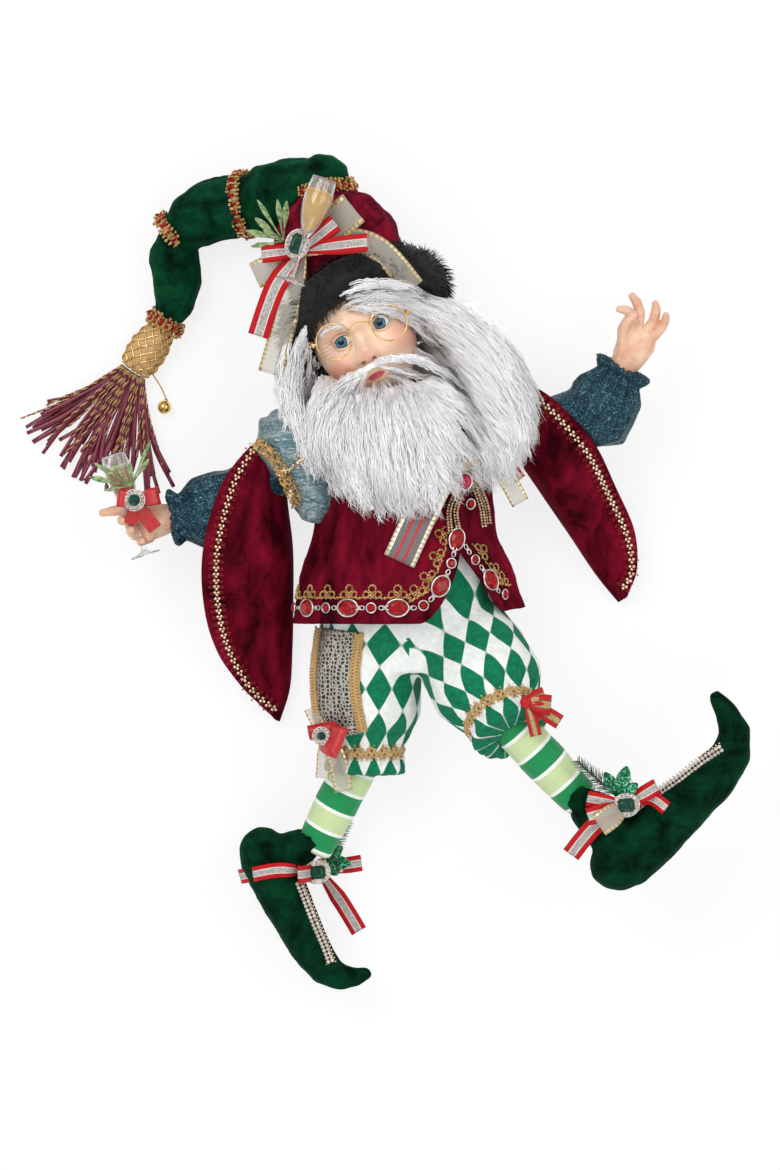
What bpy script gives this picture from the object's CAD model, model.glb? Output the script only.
"""The posed cloth elf doll in its finished materials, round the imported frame.

Metres, +Z up. The doll lies on its back on a pale floor, and +Y runs from the feet to the hat.
Right and left are the doll's own. Bearings are in degrees anticlockwise from +X.
"""

import math

import bmesh
import bpy
import numpy as np
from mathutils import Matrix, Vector, noise
from mathutils.bvhtree import BVHTree


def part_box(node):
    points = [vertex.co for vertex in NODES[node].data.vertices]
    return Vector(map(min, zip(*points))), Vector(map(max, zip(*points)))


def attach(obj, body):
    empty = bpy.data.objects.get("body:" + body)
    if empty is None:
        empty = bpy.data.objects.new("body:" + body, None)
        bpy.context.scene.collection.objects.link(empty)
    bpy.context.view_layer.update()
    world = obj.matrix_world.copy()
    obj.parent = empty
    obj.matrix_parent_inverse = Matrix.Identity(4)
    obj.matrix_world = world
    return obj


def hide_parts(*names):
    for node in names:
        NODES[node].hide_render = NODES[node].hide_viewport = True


# The camera over the doll, and the height of the field it shows
FIELD_HEIGHT = 0.702
FOCUS_HEIGHT = 0.050
LENS_MM = 135
SENSOR_MM = 36
CAMERA_X, CAMERA_Y = -0.006, -0.039

# Lamps, each: name, place, side and power in watts
LAMPS = [
    ("key", (-0.9, 0.9, 1.9), 1.3, 23.0),
    ("fill", (1.3, 0.3, 1.7), 1.4, 12.5),
    ("foot", (0.0, -1.5, 1.5), 1.3, 9.0),
]

# Head, in its own frame: across the eyes, up the face, towards the viewer
HEAD_CENTRE = (-0.0228, 0.1128, 0.050)
HEAD_TILT = 26
HEAD_WIDTH, HEAD_HEIGHT, HEAD_DEPTH = 0.062, 0.080, 0.070
RIGHT_EYE, LEFT_EYE = (-0.0135, -0.0020), (0.0120, -0.0018)
EYE_RADIUS = 0.0064
EYE_OPENING = 0.0054
UPPER_LID = 0.0035
LOWER_LID = 0.0033
LENS_RADIUS = 0.0107
LENS_OFFSET = 0.0172
WIRE_RADIUS = 0.00048

# Body levels, each: y, centre x, half-width, centre height, half-depth
TORSO_LEVELS = [
    (0.077, 0.000, 0.0230, 0.0425, 0.0230),
    (0.056, 0.002, 0.0550, 0.0425, 0.0405),
    (0.025, 0.003, 0.0520, 0.0425, 0.0450),
    (-0.006, 0.003, 0.0550, 0.0425, 0.0480),
    (-0.034, 0.004, 0.0640, 0.0445, 0.0500),
    (-0.062, 0.006, 0.0695, 0.0455, 0.0520),
]
HEM_Y = -0.062
SLIT_BEARING, SLIT_RISE, SLIT_SPREAD = 57, 0.041, 28
CLOTH = 0.0016

# Legs and arms, and the patterns of their cloth
HIP_Y, HIP_HEIGHT = -0.064, 0.040
THIGH_LENGTH, CALF_LENGTH = 0.074, 0.070
THIGH_RADIUS = 0.0344
UPPER_ARM, FOREARM = 0.058, 0.034
STRIPE = 0.0135
DIAMOND_WIDTH, DIAMOND_HEIGHT = 0.0180, 0.0270

# Glass flutes: their length, and the radii of bowl and foot
FLUTE_LENGTH, FLUTE_BOWL, FLUTE_BASE = 0.064, 0.0086, 0.0088

# Hair: steps between locks, strands a lock, points a strand, and its share of width at the root
LOCK_STEP = 0.0031
LOCK_HAIRS, LOCK_POINTS = 6, 6
LOCK_ROOT = 0.25
FUR_HAIRS = 4200

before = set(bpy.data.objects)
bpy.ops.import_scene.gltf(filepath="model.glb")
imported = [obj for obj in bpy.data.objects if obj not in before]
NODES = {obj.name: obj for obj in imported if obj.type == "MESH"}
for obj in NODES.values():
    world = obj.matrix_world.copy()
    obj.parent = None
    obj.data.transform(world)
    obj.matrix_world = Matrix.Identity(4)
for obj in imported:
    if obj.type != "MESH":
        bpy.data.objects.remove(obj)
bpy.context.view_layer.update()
rng = np.random.default_rng(7)
UP = Vector((0, 0, 1))


# Places and paths
def bone(start, length, bearing, lift):
    flat = math.cos(math.radians(lift))
    turn = math.radians(bearing)
    along = Vector((math.cos(turn) * flat, math.sin(turn) * flat, math.sin(math.radians(lift))))
    return Vector(start) + along * length


def turned_axes(bearing, lift=0.0):
    """Unit vectors along a bearing, to its left in the floor's plane, and up from both."""
    along = bone((0, 0, 0), 1, bearing, lift)
    left = UP.cross(along).normalized()
    return along, left, along.cross(left)


def in_frame(origin, axes, x, y, z=0.0):
    return Vector(origin) + axes[0] * x + axes[1] * y + axes[2] * z


HEAD = Vector(HEAD_CENTRE)
HEAD_AXES = turned_axes(HEAD_TILT)


def at_head(x, y, z=0.0):
    return in_frame(HEAD, HEAD_AXES, x, y, z)


def leg_bones(hip_x, thigh, calf):
    hip = Vector((hip_x, HIP_Y, HIP_HEIGHT))
    knee = bone(hip, THIGH_LENGTH, *thigh)
    return {"hip": hip, "knee": knee, "ankle": bone(knee, CALF_LENGTH, *calf),
            "thigh": bone((0, 0, 0), 1, *thigh), "calf": bone((0, 0, 0), 1, *calf)}


LEGS = {"right": leg_bones(-0.020, (269, -4), (243, -8)),
        "left": leg_bones(0.034, (297, 37), (313, -6))}
ARMS = {
    "right": {"shoulder": Vector((-0.058, 0.044, 0.042)), "upper": (219, -2), "fore": (190, 0)},
    "left": {"shoulder": Vector((0.060, 0.056, 0.044)), "upper": (5, 0), "fore": (62, 8)},
}
for arm in ARMS.values():
    arm["elbow"] = bone(arm["shoulder"], UPPER_ARM, *arm["upper"])
    arm["wrist"] = bone(arm["elbow"], FOREARM, *arm["fore"])


def smooth_path(points, steps):
    """Catmull-Rom points through rows of numbers."""
    points = [tuple(p) for p in points]
    ends = [points[0], *points, points[-1]]
    out = []
    for i in range(1, len(points)):
        for step in range(steps):
            t = step / steps
            out.append(tuple(
                0.5 * (2 * b + (c - a) * t + (2 * a - 5 * b + 4 * c - d) * t * t
                       + (3 * b - a - 3 * c + d) * t ** 3)
                for a, b, c, d in zip(*ends[i - 1:i + 3])
            ))
    return [*out, tuple(points[-1])]


def even_path(points, step):
    """The same path as Vectors a step apart."""
    points = [Vector(p) for p in points]
    out, due, gone = [points[0].copy()], step, 0.0
    for here, there in zip(points, points[1:]):
        length = (there - here).length
        while length > 0 and due <= gone + length:
            out.append(here.lerp(there, (due - gone) / length))
            due += step
        gone += length
    return out


def left_of(way):
    """The unit vector to the left of a way, in the floor's plane."""
    return Vector((-way.y, way.x, 0)).normalized()


def tangents(points):
    last = len(points) - 1
    return [(points[min(i + 1, last)] - points[max(i - 1, 0)]).normalized()
            for i in range(last + 1)]


# Meshes
def mesh_object(name, points, faces, uvs=None):
    """A new object. uvs has one pair a face corner."""
    mesh = bpy.data.meshes.new(name)
    mesh.from_pydata([tuple(p) for p in points], [], faces)
    if uvs is not None:
        layer = mesh.uv_layers.new(name="cloth")
        layer.data.foreach_set("uv", np.asarray(uvs, np.float32).ravel())
    mesh.update()
    obj = bpy.data.objects.new(name, mesh)
    bpy.context.scene.collection.objects.link(obj)
    return obj


def grid_faces(rows, columns, closed=False):
    """Four-sided faces between rows of points, each row closed to a ring where asked."""
    faces = []
    for a in range(rows - 1):
        for k in range(columns if closed else columns - 1):
            following = (k + 1) % columns
            faces.append((a * columns + k, a * columns + following,
                          (a + 1) * columns + following, (a + 1) * columns + k))
    return faces


def faced_out(obj, merge=0.0):
    """The object with its faces turned outwards, and its points merged within a distance."""
    grid = bmesh.new()
    grid.from_mesh(obj.data)
    if merge:
        bmesh.ops.remove_doubles(grid, verts=grid.verts, dist=merge)
    bmesh.ops.recalc_face_normals(grid, faces=grid.faces)
    grid.to_mesh(obj.data)
    grid.free()
    return obj


def baked(obj):
    """The object with its modifiers applied."""
    bpy.context.view_layer.update()
    graph = bpy.context.evaluated_depsgraph_get()
    mesh = bpy.data.meshes.new_from_object(obj.evaluated_get(graph))
    old = obj.data
    obj.modifiers.clear()
    obj.data = mesh
    bpy.data.meshes.remove(old)
    return obj


def points_of(obj):
    flat = np.empty(len(obj.data.vertices) * 3, np.float32)
    obj.data.vertices.foreach_get("co", flat)
    return flat.reshape(-1, 3).astype(float)


def normals_of(obj):
    flat = np.empty(len(obj.data.vertices) * 3, np.float32)
    obj.data.vertices.foreach_get("normal", flat)
    return flat.reshape(-1, 3).astype(float)


def set_points(obj, points):
    obj.data.vertices.foreach_set("co", np.asarray(points, np.float32).ravel())
    obj.data.update()


def rounded(name, nodes, voxel, smooth):
    """A new piece from the shapes of CAD nodes: remeshed evenly, then smoothed."""
    points, faces = [], []
    for node in nodes:
        start = len(points)
        points += [v.co for v in NODES[node].data.vertices]
        faces += [tuple(start + k for k in face.vertices) for face in NODES[node].data.polygons]
    obj = mesh_object(name, points, faces)
    remesh = obj.modifiers.new("Even", "REMESH")
    remesh.mode = "VOXEL"
    remesh.voxel_size = voxel
    relax = obj.modifiers.new("Soft", "SMOOTH")
    relax.factor = 0.5
    relax.iterations = smooth
    return baked(obj)


def swelled(obj, height):
    """Each point moved along its normal by height(point), in metres."""
    points, normals = points_of(obj), normals_of(obj)
    heights = np.array([height(Vector(p)) for p in points])
    moved = points + normals * heights[:, None]
    moved[:, 2] = np.maximum(moved[:, 2], 0.0002)
    set_points(obj, moved)
    return obj


def tree_of(obj):
    grid = bmesh.new()
    grid.from_mesh(obj.data)
    tree = BVHTree.FromBMesh(grid)
    grid.free()
    return tree


def top_at(trees, x, y, start=1.0):
    """Height of the uppermost surface at a place, or None off the pieces."""
    heights = [hit.z for hit in (tree.ray_cast(Vector((x, y, start)), Vector((0, 0, -1)))[0]
                                 for tree in trees) if hit]
    return max(heights) if heights else None


def joined(name, objects):
    """One object from several, each keeping its own materials and UVs."""
    first = objects[0]
    if len(objects) > 1:
        with bpy.context.temp_override(active_object=first, object=first,
                                       selected_objects=objects, selected_editable_objects=objects):
            bpy.ops.object.join()
    first.name = first.data.name = name
    return first


def tubes(name, paths, radii, sides=3):
    """Many tapered strands in one mesh. paths is strands x points x 3, and radii is strands x points."""
    paths = np.asarray(paths, float)
    count, length = paths.shape[:2]
    radii = np.broadcast_to(np.asarray(radii, float), (count, length))
    along = np.gradient(paths, axis=1)
    along /= np.maximum(np.linalg.norm(along, axis=2, keepdims=True), 1e-9)
    seed = np.where(np.abs(along[..., 2:3]) < 0.9, np.array([0.0, 0.0, 1.0]), np.array([1.0, 0.0, 0.0]))
    across = np.cross(along, seed)
    across /= np.maximum(np.linalg.norm(across, axis=2, keepdims=True), 1e-9)
    other = np.cross(along, across)
    turn = np.arange(sides) * math.tau / sides
    rings = (paths[:, :, None] + radii[..., None, None]
             * (across[:, :, None] * np.cos(turn)[None, None, :, None]
                + other[:, :, None] * np.sin(turn)[None, None, :, None]))
    points = rings.reshape(-1, 3)
    index = np.arange(count * length * sides).reshape(count, length, sides)
    following = np.roll(index, -1, axis=2)
    corners = [index[:, :-1], following[:, :-1], following[:, 1:], index[:, 1:]]
    quads = np.stack(corners, axis=-1).reshape(-1, 4)
    caps = np.concatenate([index[:, 0, ::-1], index[:, -1, :]])
    mesh = bpy.data.meshes.new(name)
    mesh.vertices.add(len(points))
    mesh.vertices.foreach_set("co", points.astype(np.float32).ravel())
    loops = np.concatenate([quads.ravel(), caps.ravel()])
    mesh.loops.add(len(loops))
    mesh.loops.foreach_set("vertex_index", loops.astype(np.int32))
    starts = np.concatenate([np.arange(len(quads)) * 4, len(quads) * 4 + np.arange(len(caps)) * sides])
    mesh.polygons.add(len(starts))
    mesh.polygons.foreach_set("loop_start", starts.astype(np.int32))
    mesh.update(calc_edges=True)
    obj = bpy.data.objects.new(name, mesh)
    bpy.context.scene.collection.objects.link(obj)
    return obj


def beads(name, places, sizes, detail=1, squash=None):
    """Many small round beads in one mesh. squash gives each a direction and a thickness share."""
    grid = bmesh.new()
    bmesh.ops.create_icosphere(grid, subdivisions=detail, radius=1.0)
    ball = np.array([v.co for v in grid.verts])
    faces = np.array([[v.index for v in face.verts] for face in grid.faces])
    grid.free()
    places = np.array([tuple(p) for p in places])
    sizes = np.broadcast_to(np.asarray(sizes, float), (len(places),))
    form = np.repeat(ball[None], len(places), axis=0)
    if squash is not None:
        ways = np.array([tuple(way) for way, _ in squash])
        thin = np.array([share for _, share in squash])
        depth = np.einsum("ikj,ij->ik", form, ways)
        form = form - (1 - thin)[:, None, None] * depth[..., None] * ways[:, None]
    points = (places[:, None] + form * sizes[:, None, None]).reshape(-1, 3)
    offset = np.arange(len(places))[:, None, None] * len(ball)
    return mesh_object(name, points, (faces[None] + offset).reshape(-1, 3).tolist())


def wire(name, points, radius, sides=8, closed=False):
    """A round wire or cord along a path."""
    points = [Vector(p) for p in points]
    count = len(points)
    rings = []
    last = None
    for k, centre in enumerate(points):
        if closed:
            along = (points[(k + 1) % count] - points[k - 1]).normalized()
        else:
            along = (points[min(k + 1, count - 1)] - points[max(k - 1, 0)]).normalized()
        seed = last if last is not None else (UP if abs(along.z) < 0.9 else Vector((1, 0, 0)))
        across = (seed - along * seed.dot(along)).normalized()
        last = across
        other = along.cross(across)
        size = radius[k] if hasattr(radius, "__len__") else radius
        rings.append([centre + (across * math.cos(math.tau * j / sides)
                                + other * math.sin(math.tau * j / sides)) * size for j in range(sides)])
    return loft(name, rings, looped=closed)


def loft(name, rings, looped=False, capped=True):
    """A skin through rings of the same number of points."""
    sides = len(rings[0])
    points = [p for ring in rings for p in ring]
    faces = grid_faces(len(rings), sides, closed=True)
    if looped:
        start = len(points) - sides
        for k in range(sides):
            following = (k + 1) % sides
            faces.append((start + k, start + following, following, k))
    elif capped:
        faces += [tuple(reversed(range(sides))), tuple(range(len(points) - sides, len(points)))]
    return faced_out(mesh_object(name, points, faces))


def walled(obj, thickness, offset=0.0):
    """The sheet with a thickness, shared between its sides by the offset."""
    wall = obj.modifiers.new("Cloth", "SOLIDIFY")
    wall.thickness = thickness
    wall.offset = offset
    return baked(obj)


def turned(name, profile, segments=32):
    """A lathe form about +Z from its outline of radius and height, closed at both ends on the axis."""
    rings = [[Vector((r * math.cos(math.tau * k / segments), r * math.sin(math.tau * k / segments), h))
              for k in range(segments)] for r, h in profile]
    return loft(name, rings)


def placed(obj, place, axis):
    """The object moved so that its +Z stands on a place along an axis."""
    turn = Vector(axis).normalized().to_track_quat("Z", "Y").to_matrix()
    for vertex in obj.data.vertices:
        vertex.co = turn @ vertex.co + Vector(place)
    obj.data.update()
    return obj


def adopt(obj, material, nodes=(), smooth=True):
    """A finished piece: its material, its place on the doll, and the CAD nodes that it stands for."""
    if material is not None:
        obj.data.materials.clear()
        obj.data.materials.append(material)
    if smooth:
        obj.data.polygons.foreach_set("use_smooth", [True] * len(obj.data.polygons))
    obj.data.update()
    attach(obj, "root")
    if nodes:
        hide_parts(*nodes)
    return obj


# Materials
def add(tree, kind, settings=None, **inputs):
    """A node with its settings and inputs. A socket as a value is linked."""
    node = tree.nodes.new(kind)
    for key, value in (settings or {}).items():
        setattr(node, key, value)
    for key, value in inputs.items():
        by_index = key[0] == "i" and key[1:].isdigit()
        socket = node.inputs[int(key[1:]) if by_index else key.replace("_", " ")]
        if isinstance(value, bpy.types.NodeSocket):
            tree.links.new(value, socket)
        else:
            socket.default_value = value
    return node


def new_paint(name, **sockets):
    """A material and its shader, with constant values set on the shader's own sockets."""
    paint = bpy.data.materials.new(name)
    paint.use_nodes = True
    tree = paint.node_tree
    shader = tree.nodes["Principled BSDF"]
    for key, value in sockets.items():
        shader.inputs[key.replace("_", " ")].default_value = value
    return paint, tree, shader


def spread(tree, scale=(1, 1, 1), turn=(0, 0, 0)):
    """Object coordinates in metres, scaled and turned."""
    place = add(tree, "ShaderNodeTexCoord").outputs["Object"]
    return add(tree, "ShaderNodeMapping", Vector=place, Scale=scale, Rotation=turn).outputs[0]


def cloud(tree, vector, scale, detail=3.0, roughness=0.5, distortion=0.0):
    return add(tree, "ShaderNodeTexNoise", Vector=vector, Scale=scale, Detail=detail,
               Roughness=roughness, Distortion=distortion).outputs["Fac"]


def cells(tree, vector, scale, kind="F1", randomness=1.0):
    return add(tree, "ShaderNodeTexVoronoi", {"feature": kind}, Vector=vector, Scale=scale,
               Randomness=randomness)


def ramp(tree, share, stops):
    """A colour from a share between 0 and 1. A stop is a place and a colour."""
    node = add(tree, "ShaderNodeValToRGB", Fac=share)
    scale = node.color_ramp
    while len(scale.elements) < len(stops):
        scale.elements.new(0.5)
    for element, (place, colour) in zip(scale.elements, stops):
        element.position = place
        element.color = (*colour, 1.0)
    return node.outputs["Color"]


def blend(tree, share, first, second, mode="MIX"):
    node = add(tree, "ShaderNodeMix", {"data_type": "RGBA", "blend_type": mode}, i0=share)
    for index, value in ((6, first), (7, second)):
        if isinstance(value, bpy.types.NodeSocket):
            tree.links.new(value, node.inputs[index])
        else:
            node.inputs[index].default_value = (*value, 1.0)
    return node.outputs[2]


def sum_of(tree, operation, first, second=0.0, third=0.0):
    return add(tree, "ShaderNodeMath", {"operation": operation}, i0=first, i1=second, i2=third).outputs[0]


def vector_of(tree, operation, first, second=(0, 0, 0)):
    """A sum of vectors: a number for a dot product or a length, and a vector otherwise."""
    node = add(tree, "ShaderNodeVectorMath", {"operation": operation}, i0=first, i1=tuple(second))
    return node.outputs["Value" if operation in ("DOT_PRODUCT", "LENGTH") else "Vector"]


def ribs(tree, vector, scale, way="X", **more):
    """Parallel waves across a way."""
    return add(tree, "ShaderNodeTexWave", {"wave_type": "BANDS", "bands_direction": way}, Vector=vector,
               Scale=scale, **more).outputs["Fac"]


def relief(tree, height, strength, distance, below=None):
    node = add(tree, "ShaderNodeBump", Height=height, Strength=strength, Distance=distance)
    if below is not None:
        tree.links.new(below, node.inputs["Normal"])
    return node.outputs[0]


def band(tree, value, low, high, soft=0.02):
    """1 where a value is between low and high."""
    rise = add(tree, "ShaderNodeMapRange", {"interpolation_type": "SMOOTHSTEP"}, Value=value,
               From_Min=low - soft, From_Max=low + soft).outputs[0]
    return sum_of(tree, "MULTIPLY", rise, fades(tree, value, high - soft, high + soft))


def velvet(name, dark, light, sheen, crush=55.0, folds=(1, 1, 1), depth=0.5):
    """Pile cloth whose crushed patches lie in different ways."""
    paint, tree, shader = new_paint(name, Roughness=0.85, Sheen_Weight=0.22, Sheen_Roughness=0.35,
                                    Sheen_Tint=(*sheen, 1.0), Specular_IOR_Level=0.04)
    place = spread(tree, folds)
    patches = cloud(tree, place, crush, 5.0, 0.62, 0.35)
    colour = ramp(tree, patches, [(0.36, dark), (0.52, tuple((a + b) / 2 for a, b in zip(dark, light))),
                                  (0.68, light)])
    pile = cloud(tree, spread(tree), 2600.0, 2.0, 0.6)
    shade = ramp(tree, pile, [(0.3, (0.55,) * 3), (0.75, (1.25,) * 3)])
    tree.links.new(blend(tree, 0.75, colour, shade, "MULTIPLY"), shader.inputs["Base Color"])
    lower = relief(tree, patches, depth, 0.0022)
    tree.links.new(relief(tree, pile, 0.5, 0.00035, lower), shader.inputs["Normal"])
    return paint


def metal(name, colour, dark, roughness=0.28):
    """Cast or plated metal with tarnish in its hollows and a fine uneven grain."""
    paint, tree, shader = new_paint(name, Metallic=1.0, Roughness=roughness)
    place = spread(tree)
    stain = cloud(tree, place, 260.0, 4.0, 0.6)
    tree.links.new(ramp(tree, stain, [(0.30, dark), (0.58, colour)]), shader.inputs["Base Color"])
    fine = cloud(tree, place, 900.0, 3.0, 0.6)
    tree.links.new(ramp(tree, fine, [(0.2, (roughness * 0.7,) * 3), (0.9, (min(1, roughness * 1.7),) * 3)]),
                   shader.inputs["Roughness"])
    tree.links.new(relief(tree, fine, 0.25, 0.0003), shader.inputs["Normal"])
    return paint


def gem(name, colour, deep, roughness=0.12):
    """A cut glass stone, foiled behind, darker at the middle of each facet."""
    paint, tree, shader = new_paint(name, Roughness=roughness, Specular_IOR_Level=0.30, Coat_Weight=0.15,
                                    Coat_Roughness=0.02)
    parts = cells(tree, spread(tree), 420.0)
    tree.links.new(blend(tree, 0.55, ramp(tree, parts.outputs["Distance"], [(0.0, deep), (0.9, colour)]),
                         ramp(tree, cloud(tree, spread(tree), 500.0), [(0.35, deep), (0.7, colour)])),
                   shader.inputs["Base Color"])
    return paint


def yarn(name, colour, dark, twist=2200.0, sheen=0.4, roughness=0.6):
    """Fine spun or brushed fibre."""
    paint, tree, shader = new_paint(name, Roughness=roughness, Sheen_Weight=sheen, Sheen_Roughness=0.4)
    strands = cloud(tree, spread(tree), twist, 2.0, 0.6, 0.4)
    tree.links.new(ramp(tree, strands, [(0.3, dark), (0.65, colour)]), shader.inputs["Base Color"])
    tree.links.new(relief(tree, strands, 0.4, 0.0003), shader.inputs["Normal"])
    return paint


def glitter_cloth(name, stops, scale=1500.0, metallic=0.55):
    """Cloth covered in fine metallic flakes, each turned its own way."""
    paint, tree, shader = new_paint(name, Roughness=0.42, Metallic=metallic)
    flakes = cells(tree, spread(tree), scale)
    tint = add(tree, "ShaderNodeSeparateColor", Color=flakes.outputs["Color"])
    tree.links.new(ramp(tree, tint.outputs[0], stops), shader.inputs["Base Color"])
    rough = ramp(tree, tint.outputs[1], [(0.0, (0.22,) * 3), (1.0, (0.75,) * 3)])
    tree.links.new(rough, shader.inputs["Roughness"])
    folds = relief(tree, cloud(tree, spread(tree), 90.0, 4.0, 0.6, 0.8), 0.5, 0.002)
    tree.links.new(relief(tree, tint.outputs[2], 0.9, 0.0006, folds), shader.inputs["Normal"])
    return paint


def lame_cloth(name):
    """Blue and silver cloth with crinkled metal threads across it."""
    paint, tree, shader = new_paint(name, Roughness=0.38, Metallic=0.35)
    threads = cloud(tree, spread(tree, (0.25, 1.0, 1.0), (0, 0, math.radians(-52))), 900.0, 4.0, 0.65, 0.6)
    patches = cloud(tree, spread(tree, (0.3, 1.0, 1.0), (0, 0, math.radians(-52))), 130.0, 3.0, 0.6, 0.8)
    base = ramp(tree, patches, [(0.34, (0.045, 0.125, 0.150)), (0.52, (0.100, 0.180, 0.205)),
                                (0.68, (0.250, 0.310, 0.325))])
    glint = ramp(tree, threads, [(0.50, (0.0,) * 3), (0.72, (1.0,) * 3)])
    tree.links.new(blend(tree, glint, base, (0.56, 0.56, 0.54)), shader.inputs["Base Color"])
    folds = relief(tree, patches, 0.6, 0.0020)
    tree.links.new(relief(tree, threads, 0.6, 0.0006, folds), shader.inputs["Normal"])
    return paint


def woven(tree, vector, scale):
    """A plain weave's height from two sets of threads."""
    first, second = (ribs(tree, vector, scale, way, Distortion=0.6, Detail=1.0) for way in "XY")
    return sum_of(tree, "MAXIMUM", first, second)


def plain_cloth(name, colour, dark):
    paint, tree, shader = new_paint(name, Roughness=0.85, Sheen_Weight=0.2)
    place = spread(tree)
    threads = woven(tree, place, 420.0)
    slubs = cloud(tree, place, 120.0, 4.0, 0.6)
    tree.links.new(blend(tree, 0.5, ramp(tree, slubs, [(0.3, dark), (0.6, colour)]),
                         ramp(tree, threads, [(0.2, dark), (0.7, colour)])), shader.inputs["Base Color"])
    tree.links.new(relief(tree, threads, 0.4, 0.0003), shader.inputs["Normal"])
    return paint


def cloth_uv(tree):
    return add(tree, "ShaderNodeUVMap", {"uv_map": "cloth"}).outputs[0]


def harlequin_cloth(name):
    """Green diamonds on white cotton, from UVs in metres round and along each leg."""
    paint, tree, shader = new_paint(name, Roughness=0.82, Sheen_Weight=0.05, Specular_IOR_Level=0.15)
    axes = add(tree, "ShaderNodeSeparateXYZ", Vector=cloth_uv(tree))
    wide = sum_of(tree, "MULTIPLY", axes.outputs[0], 1 / DIAMOND_WIDTH)
    tall = sum_of(tree, "MULTIPLY", axes.outputs[1], 1 / DIAMOND_HEIGHT)
    first = sum_of(tree, "ADD", wide, tall)
    second = sum_of(tree, "SUBTRACT", wide, tall)
    waves = sum_of(tree, "MULTIPLY", sum_of(tree, "SINE", sum_of(tree, "MULTIPLY", first, math.pi)),
                   sum_of(tree, "SINE", sum_of(tree, "MULTIPLY", second, math.pi)))
    side = add(tree, "ShaderNodeMapRange", Value=waves, From_Min=-0.03, From_Max=0.03).outputs[0]
    place = spread(tree)
    slubs = cloud(tree, place, 300.0, 4.0, 0.6)
    green = ramp(tree, slubs, [(0.3, (0.001, 0.120, 0.056)), (0.7, (0.004, 0.210, 0.100))])
    white = ramp(tree, slubs, [(0.3, (0.72, 0.75, 0.72)), (0.7, (0.88, 0.90, 0.88))])
    tree.links.new(blend(tree, side, white, green), shader.inputs["Base Color"])
    threads = woven(tree, cloth_uv(tree), 700.0)
    folds = relief(tree, cloud(tree, place, 70.0, 3.0, 0.5, 0.6), 0.35, 0.0020)
    tree.links.new(relief(tree, threads, 0.35, 0.0002, folds), shader.inputs["Normal"])
    return paint


def striped_knit(name, start, along):
    """Broad rings of two greens parted by fine white lines, round a leg from start along its way."""
    paint, tree, shader = new_paint(name, Roughness=0.60, Sheen_Weight=0.1, Specular_IOR_Level=0.20)
    place = add(tree, "ShaderNodeTexCoord").outputs["Object"]
    distance = vector_of(tree, "DOT_PRODUCT", vector_of(tree, "SUBTRACT", place, start), along)
    count = sum_of(tree, "MULTIPLY", distance, 1 / STRIPE)
    share = sum_of(tree, "FRACT", sum_of(tree, "ADD", sum_of(tree, "MULTIPLY", count, 0.5), 10.0))
    bright = band(tree, share, 0.04, 0.46, 0.006)
    pale = band(tree, share, 0.54, 0.96, 0.006)
    colour = blend(tree, bright, (0.90, 0.92, 0.88), (0.010, 0.270, 0.080))
    colour = blend(tree, pale, colour, (0.590, 0.720, 0.380))
    knit = ribs(tree, spread(tree), 520.0, Distortion=1.0)
    shade = ramp(tree, knit, [(0.0, (0.84,) * 3), (0.6, (1.0,) * 3)])
    tree.links.new(blend(tree, 1.0, colour, shade, "MULTIPLY"), shader.inputs["Base Color"])
    tree.links.new(relief(tree, knit, 0.4, 0.0003), shader.inputs["Normal"])
    return paint


def satin(name, colour, light):
    paint, tree, shader = new_paint(name, Roughness=0.34, Sheen_Weight=0.05, Specular_IOR_Level=0.6)
    threads = cloud(tree, spread(tree, (1, 1, 0.2)), 1500.0, 2.0, 0.6)
    tree.links.new(ramp(tree, threads, [(0.3, colour), (0.8, light)]), shader.inputs["Base Color"])
    tree.links.new(relief(tree, threads, 0.3, 0.0003), shader.inputs["Normal"])
    return paint


def striped_ribbon(name, edge, middle, line):
    """Satin edges on both sides of a glittering middle, from UVs across the ribbon."""
    paint, tree, shader = new_paint(name, Roughness=0.4, Metallic=0.15, Specular_IOR_Level=0.25)
    axes = add(tree, "ShaderNodeSeparateXYZ", Vector=cloth_uv(tree))
    across = axes.outputs[0]
    flakes = cells(tree, spread(tree), 1400.0)
    tint = add(tree, "ShaderNodeSeparateColor", Color=flakes.outputs["Color"])
    inner = ramp(tree, tint.outputs[0], [(0.0, tuple(0.45 * c for c in middle)), (1.0, middle)])
    edges = sum_of(tree, "SUBTRACT", 1.0, band(tree, across, 0.30, 0.70, 0.01))
    lines = sum_of(tree, "ADD", band(tree, across, 0.28, 0.33, 0.01), band(tree, across, 0.67, 0.72, 0.01))
    colour = blend(tree, edges, inner, edge)
    tree.links.new(blend(tree, lines, colour, line), shader.inputs["Base Color"])
    height = sum_of(tree, "ADD", ribs(tree, cloth_uv(tree), 600.0, "Y"), tint.outputs[1])
    tree.links.new(relief(tree, height, 0.5, 0.0003), shader.inputs["Normal"])
    return paint


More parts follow.
